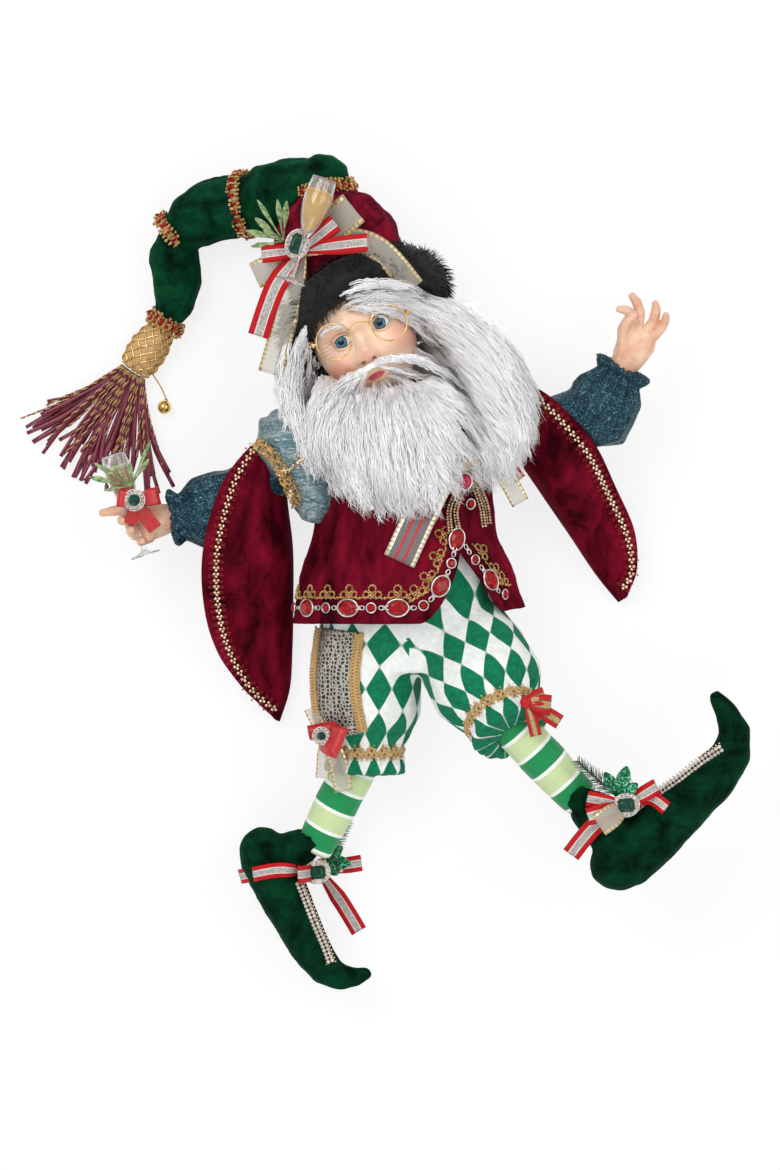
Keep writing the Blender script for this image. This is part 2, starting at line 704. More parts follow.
def sheer_ribbon(name, middle, edge, clear=0.42, cords=()):
    """See-through organza with wired metal edges and, where asked, cords along it."""
    paint, tree, shader = new_paint(name, Roughness=0.4)
    axes = add(tree, "ShaderNodeSeparateXYZ", Vector=cloth_uv(tree))
    across, along = axes.outputs[0], axes.outputs[1]
    edges = sum_of(tree, "SUBTRACT", 1.0, band(tree, across, 0.13, 0.87, 0.015))
    squares = sum_of(tree, "FRACT", sum_of(tree, "MULTIPLY", along, 330.0))
    tile = band(tree, squares, 0.12, 0.88, 0.06)
    rim = blend(tree, tile, tuple(0.45 * c for c in edge), edge)
    weave = woven(tree, cloth_uv(tree), 260.0)
    body = ramp(tree, weave, [(0.2, tuple(0.55 * c for c in middle)), (0.8, middle)])
    colour = blend(tree, edges, body, rim)
    solid = sum_of(tree, "MAXIMUM", edges, sum_of(tree, "MULTIPLY_ADD", weave, 0.25, clear))
    for place, tint in cords:
        line = band(tree, across, place - 0.035, place + 0.035, 0.008)
        colour = blend(tree, line, colour, tint)
        solid = sum_of(tree, "MAXIMUM", solid, line)
    tree.links.new(colour, shader.inputs["Base Color"])
    tree.links.new(solid, shader.inputs["Alpha"])
    tree.links.new(sum_of(tree, "MULTIPLY", edges, 0.7), shader.inputs["Metallic"])
    tree.links.new(relief(tree, tile, 0.5, 0.0003), shader.inputs["Normal"])
    return paint


def distance_to(tree, place, centre, stretch):
    """Distance in the head's frame from a centre, each axis stretched."""
    offset = vector_of(tree, "SUBTRACT", place, centre)
    return vector_of(tree, "LENGTH", vector_of(tree, "MULTIPLY", offset, stretch))


def fades(tree, distance, near, far, strength=1.0):
    return add(tree, "ShaderNodeMapRange", {"interpolation_type": "SMOOTHSTEP"}, Value=distance,
               From_Min=near, From_Max=far, To_Min=strength, To_Max=0.0).outputs[0]


def head_place(tree):
    """Coordinates in the head's own frame, from the object's."""
    place = add(tree, "ShaderNodeTexCoord").outputs["Object"]
    offset = vector_of(tree, "SUBTRACT", place, HEAD)
    return add(tree, "ShaderNodeVectorRotate", {"rotation_type": "Z_AXIS"}, Vector=offset,
               Angle=-math.radians(HEAD_TILT)).outputs[0]


RESIN_SKIN = {"Roughness": 0.42, "Subsurface_Weight": 0.08, "Subsurface_Scale": 0.004,
              "Subsurface_Radius": (0.6, 0.25, 0.15)}


def face_paint(name):
    """Painted resin skin: warm in the hollows, rosy on cheeks, nose and lids, with a pink mouth."""
    paint, tree, shader = new_paint(name, **RESIN_SKIN)
    place = head_place(tree)
    mottle = cloud(tree, place, 180.0, 4.0, 0.6)
    colour = ramp(tree, mottle, [(0.3, (0.860, 0.560, 0.390)), (0.7, (0.940, 0.690, 0.510))])
    flat = (1, 1, 0)
    washes = [
        ((-0.0215, -0.0180, 0), 0.003, 0.0125, 0.70, (0.880, 0.340, 0.250)),
        ((0.0215, -0.0140, 0), 0.003, 0.0125, 0.60, (0.880, 0.360, 0.270)),
        ((-0.0045, -0.0150, 0), 0.001, 0.0065, 0.50, (0.860, 0.390, 0.280)),
        ((-0.0160, 0.0040, 0), 0.0035, 0.0090, 0.45, (0.700, 0.320, 0.190)),
        ((0.0130, 0.0045, 0), 0.0035, 0.0090, 0.45, (0.700, 0.320, 0.190)),
        ((-0.0020, 0.0030, 0), 0.001, 0.0065, 0.35, (0.660, 0.360, 0.220)),
        ((-0.0270, 0.0130, 0), 0.002, 0.0120, 0.40, (0.680, 0.360, 0.210)),
    ]
    for centre, near, far, strength, tint in washes:
        wash = fades(tree, distance_to(tree, place, centre, flat), near, far, strength)
        colour = blend(tree, wash, colour, tint)
    for eye in (RIGHT_EYE, LEFT_EYE):
        rim = distance_to(tree, place, (*eye, 0), (1, 1.25, 0))
        colour = blend(tree, sum_of(tree, "MULTIPLY", band(tree, rim, 0.0054, 0.0066, 0.0008), 0.30), colour,
                       (0.240, 0.070, 0.030))
    lines = ribs(tree, place, 150.0, "Y", Distortion=3.0, Detail=2.0, Detail_Scale=1.2)
    temples = fades(tree, distance_to(tree, place, (-0.0250, -0.0010, 0), flat), 0.004, 0.009, 0.5)
    wrinkle = sum_of(tree, "MULTIPLY", temples, ramp(tree, lines, [(0.0, (1, 1, 1)), (0.35, (0, 0, 0))]))
    colour = blend(tree, wrinkle, colour, (0.420, 0.160, 0.080))
    for nostril in (-0.0078, -0.0008):
        hollow = distance_to(tree, place, (nostril, -0.0186, 0), (1, 1.5, 0))
        colour = blend(tree, fades(tree, hollow, 0.0008, 0.0019, 0.85), colour, (0.130, 0.030, 0.018))
    lips = distance_to(tree, place, (-0.0040, -0.0285, 0), (1, 2.6, 0))
    colour = blend(tree, fades(tree, lips, 0.0045, 0.0060), colour, (0.640, 0.120, 0.140))
    tree.links.new(colour, shader.inputs["Base Color"])
    low = relief(tree, lines, 0.10, 0.0006)
    pores = cloud(tree, place, 900.0, 3.0, 0.6)
    tree.links.new(relief(tree, pores, 0.15, 0.0003, low), shader.inputs["Normal"])
    return paint


def skin_paint(name):
    paint, tree, shader = new_paint(name, **RESIN_SKIN)
    mottle = cloud(tree, spread(tree), 130.0, 4.0, 0.6)
    tree.links.new(ramp(tree, mottle, [(0.32, (0.640, 0.330, 0.200)), (0.66, (0.790, 0.520, 0.370))]),
                   shader.inputs["Base Color"])
    pores = cloud(tree, spread(tree), 800.0, 3.0, 0.6)
    tree.links.new(relief(tree, pores, 0.2, 0.0003), shader.inputs["Normal"])
    return paint


def eye_paint(name, centre, gaze):
    """A glass eye: white, a blue iris with a dark edge and fine rays, and a black pupil."""
    paint, tree, shader = new_paint(name, Roughness=0.10, Specular_IOR_Level=0.25, Coat_Weight=0.25,
                                    Coat_Roughness=0.02)
    place = add(tree, "ShaderNodeTexCoord").outputs["Object"]
    offset = vector_of(tree, "SUBTRACT", place, centre)
    look = vector_of(tree, "DOT_PRODUCT", vector_of(tree, "NORMALIZE", offset), gaze)
    turn = sum_of(tree, "ARCCOSINE", look)
    rays = cloud(tree, offset, 1900.0, 3.0, 0.6)
    iris = ramp(tree, rays, [(0.3, (0.010, 0.055, 0.110)), (0.7, (0.070, 0.210, 0.320))])
    white = ramp(tree, cloud(tree, offset, 400.0), [(0.3, (0.70, 0.66, 0.62)), (0.7, (0.84, 0.83, 0.81))])
    colour = blend(tree, band(tree, turn, -1.0, 0.62, 0.02), white, (0.010, 0.028, 0.050))
    colour = blend(tree, band(tree, turn, -1.0, 0.56, 0.02), colour, iris)
    colour = blend(tree, band(tree, turn, -1.0, 0.29, 0.02), colour, (0.002, 0.002, 0.003))
    tree.links.new(colour, shader.inputs["Base Color"])
    return paint


def glass_paint(name):
    paint, tree, shader = new_paint(name, Roughness=0.03, IOR=1.45, Transmission_Weight=0.92)
    streaks = cloud(tree, spread(tree), 200.0, 2.0, 0.5)
    tint = ramp(tree, streaks, [(0.2, (0.873, 0.882, 0.873)), (0.8, (0.970, 0.980, 0.970))])
    tree.links.new(tint, shader.inputs["Base Color"])
    return paint


def drink_paint(name, low, high, foot, top):
    """A clear drink, deeper in colour towards its foot, with tiny bubbles."""
    paint, tree, shader = new_paint(name, Roughness=0.15, IOR=1.33)
    place = add(tree, "ShaderNodeSeparateXYZ", Vector=spread(tree)).outputs[1]
    share = add(tree, "ShaderNodeMapRange", Value=place, From_Min=foot, From_Max=top).outputs[0]
    bubbles = cells(tree, spread(tree), 700.0)
    sparkle = ramp(tree, bubbles.outputs["Distance"], [(0.05, (0.4,) * 3), (0.14, (0.0,) * 3)])
    depth = ramp(tree, share, [(0.0, low), (1.0, high)])
    tree.links.new(blend(tree, sparkle, depth, (0.95, 0.88, 0.60)), shader.inputs["Base Color"])
    return paint


def net_cloth(name):
    """Silver net over dark cloth: rows of small rounded holes."""
    paint, tree, shader = new_paint(name, Roughness=0.45, Metallic=0.5)
    holes = cells(tree, spread(tree), 430.0, "DISTANCE_TO_EDGE", 0.55).outputs["Distance"]
    threads = ramp(tree, holes, [(0.06, (0.50, 0.47, 0.41)), (0.20, (0.030, 0.027, 0.024))])
    tree.links.new(threads, shader.inputs["Base Color"])
    tree.links.new(relief(tree, holes, 0.8, -0.0008), shader.inputs["Normal"])
    return paint


PAINT = {
    "green": velvet("green_velvet", (0.0004, 0.0075, 0.0032), (0.0030, 0.0700, 0.0270), (0.03, 0.30, 0.14)),
    "shoe": velvet("shoe_velvet", (0.0004, 0.0070, 0.0030), (0.0020, 0.0460, 0.0170), (0.03, 0.26, 0.12),
                   70.0),
    "wine": velvet("wine_velvet", (0.0300, 0.0004, 0.0030), (0.2300, 0.0050, 0.0230), (0.60, 0.02, 0.09),
                   60.0, (1.0, 0.40, 1.0)),
    "crown": velvet("crown_velvet", (0.0300, 0.0005, 0.0034), (0.2900, 0.0080, 0.0320), (0.65, 0.03, 0.12),
                    75.0, depth=0.8),
    "glitter": glitter_cloth("glitter_cloth", [(0.0, (0.002, 0.014, 0.028)), (0.35, (0.004, 0.032, 0.055)),
                                               (0.60, (0.006, 0.058, 0.060)), (0.82, (0.020, 0.060, 0.130)),
                                               (1.0, (0.110, 0.270, 0.290))]),
    "lame": lame_cloth("lame_cloth"),
    "harlequin": harlequin_cloth("harlequin_cloth"),
    "calico": plain_cloth("calico", (0.750, 0.680, 0.550), (0.560, 0.490, 0.370)),
    "face": face_paint("face_paint"),
    "skin": skin_paint("skin_paint"),
    "gold": metal("gold", (0.870, 0.600, 0.270), (0.420, 0.240, 0.080)),
    "silver": metal("silver", (0.780, 0.770, 0.740), (0.380, 0.370, 0.350)),
    "pale_gold": metal("pale_gold", (0.860, 0.700, 0.520), (0.560, 0.360, 0.220), 0.24),
    "bead_bronze": metal("bead_bronze", (0.640, 0.480, 0.330), (0.300, 0.190, 0.110), 0.34),
    "red_thread": yarn("red_thread", (0.480, 0.020, 0.012), (0.200, 0.006, 0.004), 2500.0, 0.1, 0.4),
    "net": net_cloth("silver_net"),
    "brass": metal("brass", (0.800, 0.560, 0.180), (0.420, 0.250, 0.060), 0.22),
    "red_gem": gem("red_gem", (0.480, 0.000, 0.004), (0.070, 0.000, 0.001)),
    "pink_gem": gem("pink_gem", (0.620, 0.050, 0.110), (0.250, 0.010, 0.030)),
    "green_gem": gem("green_gem", (0.002, 0.080, 0.045), (0.000, 0.010, 0.007)),
    "teal_gem": gem("teal_gem", (0.020, 0.250, 0.230), (0.002, 0.060, 0.060)),
    "crystal": gem("crystal", (0.860, 0.780, 0.700), (0.260, 0.200, 0.160), 0.08),
    "hair": yarn("hair_fibre", (0.992, 0.990, 0.994), (0.955, 0.950, 0.955), 700.0, 0.35, 0.55),
    "hair_base": yarn("hair_base", (0.985, 0.980, 0.985), (0.920, 0.915, 0.920), 500.0, 0.2, 0.7),
    "fur": yarn("fur_fibre", (0.006, 0.006, 0.0065), (0.0015, 0.0015, 0.0015), 900.0, 0.06, 0.75),
    "fur_base": yarn("fur_base", (0.005, 0.005, 0.0055), (0.0015, 0.0015, 0.0015), 500.0, 0.2, 0.8),
    "thread": yarn("gold_thread", (0.620, 0.400, 0.160), (0.300, 0.170, 0.050), 2500.0, 0.1, 0.4),
    "wine_satin": satin("wine_satin", (0.085, 0.001, 0.012), (0.260, 0.008, 0.044)),
    "red_satin": satin("red_satin", (0.360, 0.002, 0.005), (0.620, 0.014, 0.016)),
    "striped": striped_ribbon("striped_ribbon", (0.520, 0.004, 0.008), (0.620, 0.600, 0.560),
                              (0.750, 0.720, 0.670)),
    "plaid": striped_ribbon("plaid_ribbon", (0.480, 0.010, 0.014), (0.620, 0.430, 0.180),
                            (0.100, 0.110, 0.060)),
    "organza": sheer_ribbon("organza", (0.600, 0.560, 0.470), (0.820, 0.640, 0.360), 0.24),
    "sheer_red": sheer_ribbon("sheer_red", (0.260, 0.235, 0.235), (0.860, 0.760, 0.560), 0.40,
                              ((0.36, (0.560, 0.008, 0.012)), (0.62, (0.560, 0.008, 0.012)))),
    "glass": glass_paint("flute_glass"),
    "drink": drink_paint("drink", (0.560, 0.200, 0.002), (0.860, 0.460, 0.012), 0.060, 0.080),
    "froth": yarn("froth", (0.900, 0.860, 0.700), (0.740, 0.640, 0.380), 900.0, 0.1, 0.5),
    "leaves": yarn("frosted_leaves", (0.330, 0.420, 0.170), (0.025, 0.090, 0.018), 420.0, 0.2, 0.5),
    "pine": yarn("pine_needles", (0.040, 0.120, 0.045), (0.010, 0.045, 0.016), 500.0, 0.2, 0.5),
    "holly": glitter_cloth("holly_sequins", [(0.0, (0.002, 0.050, 0.020)), (0.55, (0.004, 0.150, 0.060)),
                                             (1.0, (0.150, 0.620, 0.380))], 1100.0, 0.5),
}
for side, leg in LEGS.items():
    PAINT[f"{side}_stripes"] = striped_knit(f"{side}_stocking_knit", leg["knee"], leg["calf"])


# The body and its coat
def torso_level(y):
    """Centre x, half-width, centre height and half-depth of the body at a level."""
    for upper, lower in zip(TORSO_LEVELS, TORSO_LEVELS[1:]):
        if y >= lower[0] or lower is TORSO_LEVELS[-1]:
            share = min(1.0, max(0.0, (upper[0] - y) / (upper[0] - lower[0])))
            eased = share * share * (3 - 2 * share) * 0.4 + share * 0.6
            return [a + (b - a) * eased for a, b in zip(upper[1:], lower[1:])]


def hem_level(angle):
    """How far down the coat's edge lies: it lifts to a point at the front slit."""
    off = math.degrees(angle) - SLIT_BEARING
    off = abs((off + 180) % 360 - 180)
    rise = SLIT_RISE * max(0.0, 1 - off / SLIT_SPREAD) ** 1.5
    return HEM_Y + rise + 0.010 * max(0.0, math.cos(angle)) ** 2


def coat_ring(y, skirt):
    sides = 180
    ring = []
    for k in range(sides):
        angle = math.radians(SLIT_BEARING) + math.tau * k / sides
        level = y + (hem_level(angle) - y) * skirt
        middle, half, height, deep = torso_level(level)
        fold = 1 + skirt * (0.024 * math.sin(7 * angle + 0.6) + 0.012 * math.sin(11 * angle))
        ring.append(Vector((middle + half * fold * math.cos(angle), level,
                            max(height + deep * fold * math.sin(angle), 0.0004))))
    return ring


def make_coat():
    """The fitted velvet coat with its flared, slit skirt: a sheet that is open at neck and hem."""
    rings = [coat_ring(0.077 - 0.083 * k / 24, 0.0) for k in range(24)]
    rings += [coat_ring(-0.006, k / 22) for k in range(23)]
    coat = loft("coat_velvet", rings, capped=False)
    swelled(coat, lambda p: 0.0007 * noise.noise(Vector((p.x * 90, p.y * 26, p.z * 90)))
            + 0.0005 * noise.noise(p * 210))
    adopt(walled(coat, CLOTH, -1.0), PAINT["wine"], ["coat"])
    body = rounded("stuffed_form", ["stuffed_body"], 0.0040, 4)
    swelled(body, lambda p: 0.0006 * noise.noise(p / 0.02 + Vector((0, 0, 3.1))))
    adopt(body, PAINT["calico"], ["stuffed_body"])


def leg_uv(obj):
    """UVs in metres round and along the nearer thigh, for each face corner."""
    spots = points_of(obj)
    layer = obj.data.uv_layers.new(name="cloth")
    for face in obj.data.polygons:
        centre = face.center
        best = None
        for side, leg in LEGS.items():
            along = leg["thigh"]
            out = centre - leg["hip"]
            off = (out - along * out.dot(along)).length
            if best is None or off < best[0]:
                best = (off, side)
        leg = LEGS[best[1]]
        along = leg["thigh"]
        beside = UP.cross(along).normalized()
        above = along.cross(beside)
        values = []
        for corner in face.vertices:
            out = Vector(spots[corner]) - leg["hip"]
            values.append([math.atan2(out.dot(above), out.dot(beside)), out.dot(along)])
        angles = [v[0] for v in values]
        if max(angles) - min(angles) > math.pi:
            angles = [a + math.tau if a < 0 else a for a in angles]
        for index, angle, (_, distance) in zip(face.loop_indices, angles, values):
            layer.data[index].uv = (angle * THIGH_RADIUS, distance + 0.1)


def make_breeches():
    """Full cotton breeches, gathered into frilled knee bands."""
    cloth = rounded("breeches_cloth", ["breeches"], 0.0022, 6)

    def folds(p):
        total = 0.0006 + 0.0009 * noise.noise(p / 0.022) + 0.0004 * noise.noise(p / 0.008)
        for leg in LEGS.values():
            out = p - leg["hip"]
            along = out.dot(leg["thigh"])
            beside = out - leg["thigh"] * along
            if beside.length < 0.045:
                near = max(0.0, 1 - abs(along - THIGH_LENGTH) / 0.020)
                turn = math.atan2(beside.z, beside.dot(Vector((-leg["thigh"].y, leg["thigh"].x, 0))))
                total += 0.0013 * near * math.sin(17 * turn)
        return total

    swelled(cloth, folds)
    leg_uv(cloth)
    adopt(cloth, PAINT["harlequin"], ["breeches"])


def make_stockings():
    for side in LEGS:
        leg = rounded(f"{side}_stocking_knit", [f"{side}_stocking"], 0.0018, 4)
        swelled(leg, lambda p: 0.0004 + 0.0003 * noise.noise(p / 0.010))
        adopt(leg, PAINT[f"{side}_stripes"], [f"{side}_stocking"])


def make_shoes():
    """Velvet shoes with turned-up toes, a stitched sole line and soft creases."""
    for side in LEGS:
        shoe = rounded(f"{side}_shoe_velvet", [f"{side}_shoe"], 0.0018, 7)
        swelled(shoe, lambda p: 0.0005 + 0.0008 * noise.noise(p / 0.016) + 0.0003 * noise.noise(p / 0.005))
        adopt(shoe, PAINT["shoe"], [f"{side}_shoe"])


SLEEVES = {
    "right": {
        "mouth": [(-0.031, 0.000), (-0.048, -0.022), (-0.060, -0.062), (-0.060, -0.098),
                  (-0.052, -0.125), (-0.036, -0.147), (-0.018, -0.164)],
        "fold": [(-0.014, 0.000), (-0.011, -0.034), (-0.008, -0.062), (-0.008, -0.098),
                 (-0.0085, -0.122), (-0.010, -0.146), (-0.016, -0.166)],
    },
    "left": {
        "mouth": [(0.016, 0.026), (0.034, 0.014), (0.056, -0.010), (0.070, -0.036),
                  (0.082, -0.062), (0.084, -0.086), (0.078, -0.102)],
        "fold": [(0.008, 0.004), (0.012, -0.016), (0.026, -0.038), (0.044, -0.064),
                 (0.056, -0.082), (0.064, -0.093), (0.074, -0.105)],
    },
}
SLEEVE_HEIGHTS = [0.96, 1.0, 0.92, 0.54, 0.32, 0.22, 0.13]
SLEEVE_SECTION = [(0.0, 1.0), (0.4, 1.0), (0.86, 0.80), (1.0, 0.36), (0.88, 0.03), (0.03, 0.0)]
SLEEVE_MOUTH = 0.060


def make_outer_sleeves():
    """Long hanging sleeves: one folded velvet sheet each, open along the mouth, with soft folds."""
    section = smooth_path(SLEEVE_SECTION, 8)
    for side, table in SLEEVES.items():
        shoulder = ARMS[side]["shoulder"]
        levels = zip(table["mouth"], table["fold"], SLEEVE_HEIGHTS)
        rows = smooth_path([(*mouth, *fold, height) for mouth, fold, height in levels], 12)
        points = []
        for mouth_x, mouth_y, fold_x, fold_y, height in rows:
            for k, (share, rise) in enumerate(section):
                x = shoulder.x + mouth_x + (fold_x - mouth_x) * share
                y = shoulder.y + mouth_y + (fold_y - mouth_y) * share
                wave = 0.0009 * math.sin(21 * share + 30 * y)
                wave += 0.0014 * noise.noise(Vector((x * 60, y * 22, k)))
                top = 1.0 if k < len(section) / 2 else 0.2
                z = 0.0012 + max(0.0, rise) * height * SLEEVE_MOUTH + wave * top * min(1.0, share * 5 + 0.3)
                points.append((x, y, max(z, 0.0011)))
        sleeve = mesh_object(f"{side}_sleeve_velvet", points, grid_faces(len(rows), len(section)))
        adopt(walled(sleeve, CLOTH), PAINT["wine"], [f"{side}_outer_sleeve"])


def make_inner_sleeves():
    """Puffed glitter sleeves drawn into elastic cuffs."""
    for side, arm in ARMS.items():
        sleeve = rounded(f"{side}_sleeve_glitter", [f"{side}_inner_sleeve"], 0.0016, 4)
        along = (arm["wrist"] - arm["elbow"]).normalized()
        beside = UP.cross(along).normalized()
        above = along.cross(beside)

        def gathers(p, arm=arm, along=along, beside=beside, above=above):
            out = p - arm["elbow"]
            near = min(1.0, max(0.0, out.dot(along) / 0.030 + 0.1))
            turn = math.atan2(out.dot(above), out.dot(beside))
            return 0.0005 + 0.0011 * near * math.sin(13 * turn + 2.0 * noise.noise(p * 60)) \
                + 0.0012 * noise.noise(p / 0.014)

        swelled(sleeve, gathers)
        adopt(sleeve, PAINT["glitter"], [f"{side}_inner_sleeve"])


def make_puffs():
    """Padded shoulder caps of crinkled metal cloth."""
    for side in ARMS:
        puff = rounded(f"{side}_puff_cloth", [f"{side}_shoulder_puff"], 0.0014, 4)
        swelled(puff, lambda p: 0.0004 + 0.0010 * math.sin(520 * (p.x * 0.62 + p.y * 0.78)
                                                           + 3 * noise.noise(p * 60))
                * (0.4 + 0.6 * abs(noise.noise(p * 45))) + 0.0010 * noise.noise(p / 0.012))
        adopt(puff, PAINT["lame"], [f"{side}_shoulder_puff"])


def make_hat():
    """The crushed velvet crown and the long stuffed tail."""
    crown = rounded("crown_velvet", ["hat_crown"], 0.0018, 5)
    swelled(crown, lambda p: 0.0006 + 0.0022 * noise.noise(p / 0.017) + 0.0008 * noise.noise(p / 0.006))
    adopt(crown, PAINT["crown"], ["hat_crown"])
    tail = rounded("tail_velvet", ["hat_tail"], 0.0017, 6)
    swelled(tail, lambda p: 0.0005 + 0.0013 * noise.noise(p / 0.015) + 0.0004 * noise.noise(p / 0.005))
    adopt(tail, PAINT["green"], ["hat_tail"])


def make_hands():
    for side in ARMS:
        hand = rounded(f"{side}_hand_skin", [f"{side}_hand"], 0.00072, 6)
        swelled(hand, lambda p: 0.00035 + 0.00012 * noise.noise(p / 0.003))
        adopt(hand, PAINT["skin"], [f"{side}_hand"])


# Face
FACE_BUMPS = [
    (-0.0044, -0.0136, 0.0044, 0.0046, 0.0100),
    (-0.0030, -0.0070, 0.0032, 0.0085, 0.0056),
    (-0.0090, -0.0160, 0.0024, 0.0026, 0.0042),
    (0.0006, -0.0160, 0.0024, 0.0026, 0.0042),
    (-0.0190, -0.0165, 0.0080, 0.0070, 0.0044),
    (0.0175, -0.0145, 0.0080, 0.0070, 0.0044),
    (-0.0140, 0.0075, 0.0085, 0.0028, 0.0022),
    (0.0120, 0.0085, 0.0085, 0.0028, 0.0022),
    (-0.0145, -0.0020, 0.0080, 0.0062, -0.0026),
    (0.0125, -0.0016, 0.0080, 0.0062, -0.0026),
    (-0.0025, 0.0040, 0.0016, 0.0040, -0.0010),
    (-0.0040, -0.0270, 0.0070, 0.0014, 0.0022),
    (-0.0040, -0.0302, 0.0060, 0.0016, 0.0028),
    (-0.0040, -0.0286, 0.0070, 0.0006, -0.0012),
    (-0.0035, -0.0370, 0.0090, 0.0060, 0.0040),
]


def face_height(x, y):
    """Height of the face over the head's centre at a place in the head's frame."""
    share_x, share_y = x / (HEAD_WIDTH / 2), y / (HEAD_HEIGHT / 2)
    inside = max(0.0, 1 - share_x ** 2 - share_y ** 2)
    bumps = sum(size * math.exp(-((x - cx) / wx) ** 2 - ((y - cy) / wy) ** 2)
                for cx, cy, wx, wy, size in FACE_BUMPS)
    crease = 0.00025 * math.sin(y * 2300 + 5 * x * x * 9000) * math.exp(-((y - 0.019) / 0.006) ** 2)
    lids = 0.0
    for eye_x, eye_y in (RIGHT_EYE, LEFT_EYE):
        ring = math.hypot((x - eye_x) / 0.0062, (y - eye_y) / 0.0047)
        lids += 0.0013 * math.exp(-((ring - 1.18) / 0.20) ** 2) - 0.0030 * max(0.0, 1 - ring ** 2)
    return HEAD_DEPTH / 2 * math.sqrt(inside) + bumps + crease + lids


def make_head():
    """A painted resin head. Its front is the face and its back is plain under the hair."""
    columns, rows = 124, 124
    points = []
    for a in range(rows + 1):
        up = -math.cos(math.pi * a / rows)
        for b in range(columns):
            turn = math.tau * b / columns
            ring = math.sqrt(max(0.0, 1 - up * up))
            x, y = ring * math.cos(turn) * HEAD_WIDTH / 2, up * HEAD_HEIGHT / 2
            z = ring * math.sin(turn)
            if z > 0:
                plain = HEAD_DEPTH / 2 * math.sqrt(max(0.0, 1 - (x / (HEAD_WIDTH / 2)) ** 2
                                                       - (y / (HEAD_HEIGHT / 2)) ** 2))
                out = (face_height(x, y) - plain) * min(1.0, 2.2 * z)
                height = z * HEAD_DEPTH / 2 + out
            else:
                height = z * HEAD_DEPTH / 2
            points.append(at_head(x, y, height))
    head = mesh_object("head_face", points, grid_faces(rows + 1, columns, closed=True))
    adopt(faced_out(head, 1e-6), PAINT["face"], ["head"])
    for side, (x, y) in (("right", RIGHT_EYE), ("left", LEFT_EYE)):
        plain = HEAD_DEPTH / 2 * math.sqrt(1 - (x / (HEAD_WIDTH / 2)) ** 2 - (y / (HEAD_HEIGHT / 2)) ** 2)
        centre = at_head(x, y, plain - EYE_RADIUS * 0.86)
        gaze = (HEAD_AXES[2] + HEAD_AXES[0] * -0.17 + HEAD_AXES[1] * 0.03).normalized()
        eye = beads(f"{side}_glass_eye", [centre], EYE_RADIUS, 5)
        adopt(eye, eye_paint(f"{side}_eye_glass", centre, gaze), [f"{side}_eye"])
        make_lids(side, centre)


def eye_opening(turn):
    """The almond between the lids, in the head's frame about the eye's centre."""
    high = UPPER_LID if math.sin(turn) > 0 else LOWER_LID
    return EYE_OPENING * math.cos(turn), high * math.sin(turn) * (0.72 + 0.28 * abs(math.sin(turn)))


def make_lids(side, centre):
    rings = []
    for share, radius in ((0.0, EYE_RADIUS * 0.98), (0.0, EYE_RADIUS * 1.045), (0.12, EYE_RADIUS * 1.075),
                          (0.4, EYE_RADIUS * 1.08), (0.7, EYE_RADIUS * 1.08), (1.0, EYE_RADIUS * 1.08)):
        ring = []
        for k in range(56):
            turn = math.tau * k / 56
            u, v = eye_opening(turn)
            u += (EYE_RADIUS * math.cos(turn) - u) * share
            v += (EYE_RADIUS * math.sin(turn) - v) * share
            up = math.sqrt(max(0.0, radius ** 2 - u * u - v * v))
            ring.append(centre + HEAD_AXES[0] * u + HEAD_AXES[1] * v + HEAD_AXES[2] * up)
        rings.append(ring)
    adopt(loft(f"{side}_eyelids", rings, capped=False), PAINT["face"])
    line = [centre + HEAD_AXES[0] * u + HEAD_AXES[1] * v
            + HEAD_AXES[2] * math.sqrt((EYE_RADIUS * 1.05) ** 2 - u * u - v * v)
            for u, v in (eye_opening(math.tau * k / 56) for k in range(56))]
    adopt(wire(f"{side}_lid_line", line, 0.00022, sides=5, closed=True), new_lash_paint())


def lens_spot(x, y, z=0.0):
    """A place on the spectacles' own plane, which leans a little on the nose."""
    lean = -0.12
    return at_head(x * math.cos(lean) - y * math.sin(lean) - 0.001,
                   x * math.sin(lean) + y * math.cos(lean) - 0.002, 0.0405 - abs(x) * 0.16 + z)


def make_spectacles():
    """Round gold wire rims with a bridge and arms, and small hinges."""
    wires = []
    for sign in (-1, 1):
        rim = [lens_spot(sign * LENS_OFFSET + LENS_RADIUS * math.cos(math.tau * k / 40),
                         LENS_RADIUS * math.sin(math.tau * k / 40)) for k in range(40)]
        wires.append(wire("rim", rim, WIRE_RADIUS, closed=True))
        edge = sign * (LENS_OFFSET + LENS_RADIUS)
        arm = [lens_spot(edge, 0.002),
               lens_spot(edge + sign * 0.0030, 0.002, -0.0004),
               lens_spot(edge + sign * 0.0042, 0.002, -0.003),
               lens_spot(edge + sign * 0.0042, 0.0015, -0.030)]
        wires.append(wire("arm", [Vector(p) for p in smooth_path(arm, 5)], WIRE_RADIUS))
        hinge = [lens_spot(edge + sign * 0.0018, 0.0005), lens_spot(edge + sign * 0.0018, 0.0036)]
        wires.append(wire("hinge", hinge, 0.0009))
    bridge = [(-0.0072, 0.0010, -0.0008), (-0.0050, 0.0044, 0.0006), (0.0, 0.0058, 0.0012),
              (0.0050, 0.0044, 0.0006), (0.0072, 0.0010, -0.0008)]
    wires.append(wire("bridge", [Vector(lens_spot(*p)) for p in smooth_path(bridge, 6)], WIRE_RADIUS))
    adopt(joined("spectacle_wires", wires), PAINT["gold"], ["spectacles"])


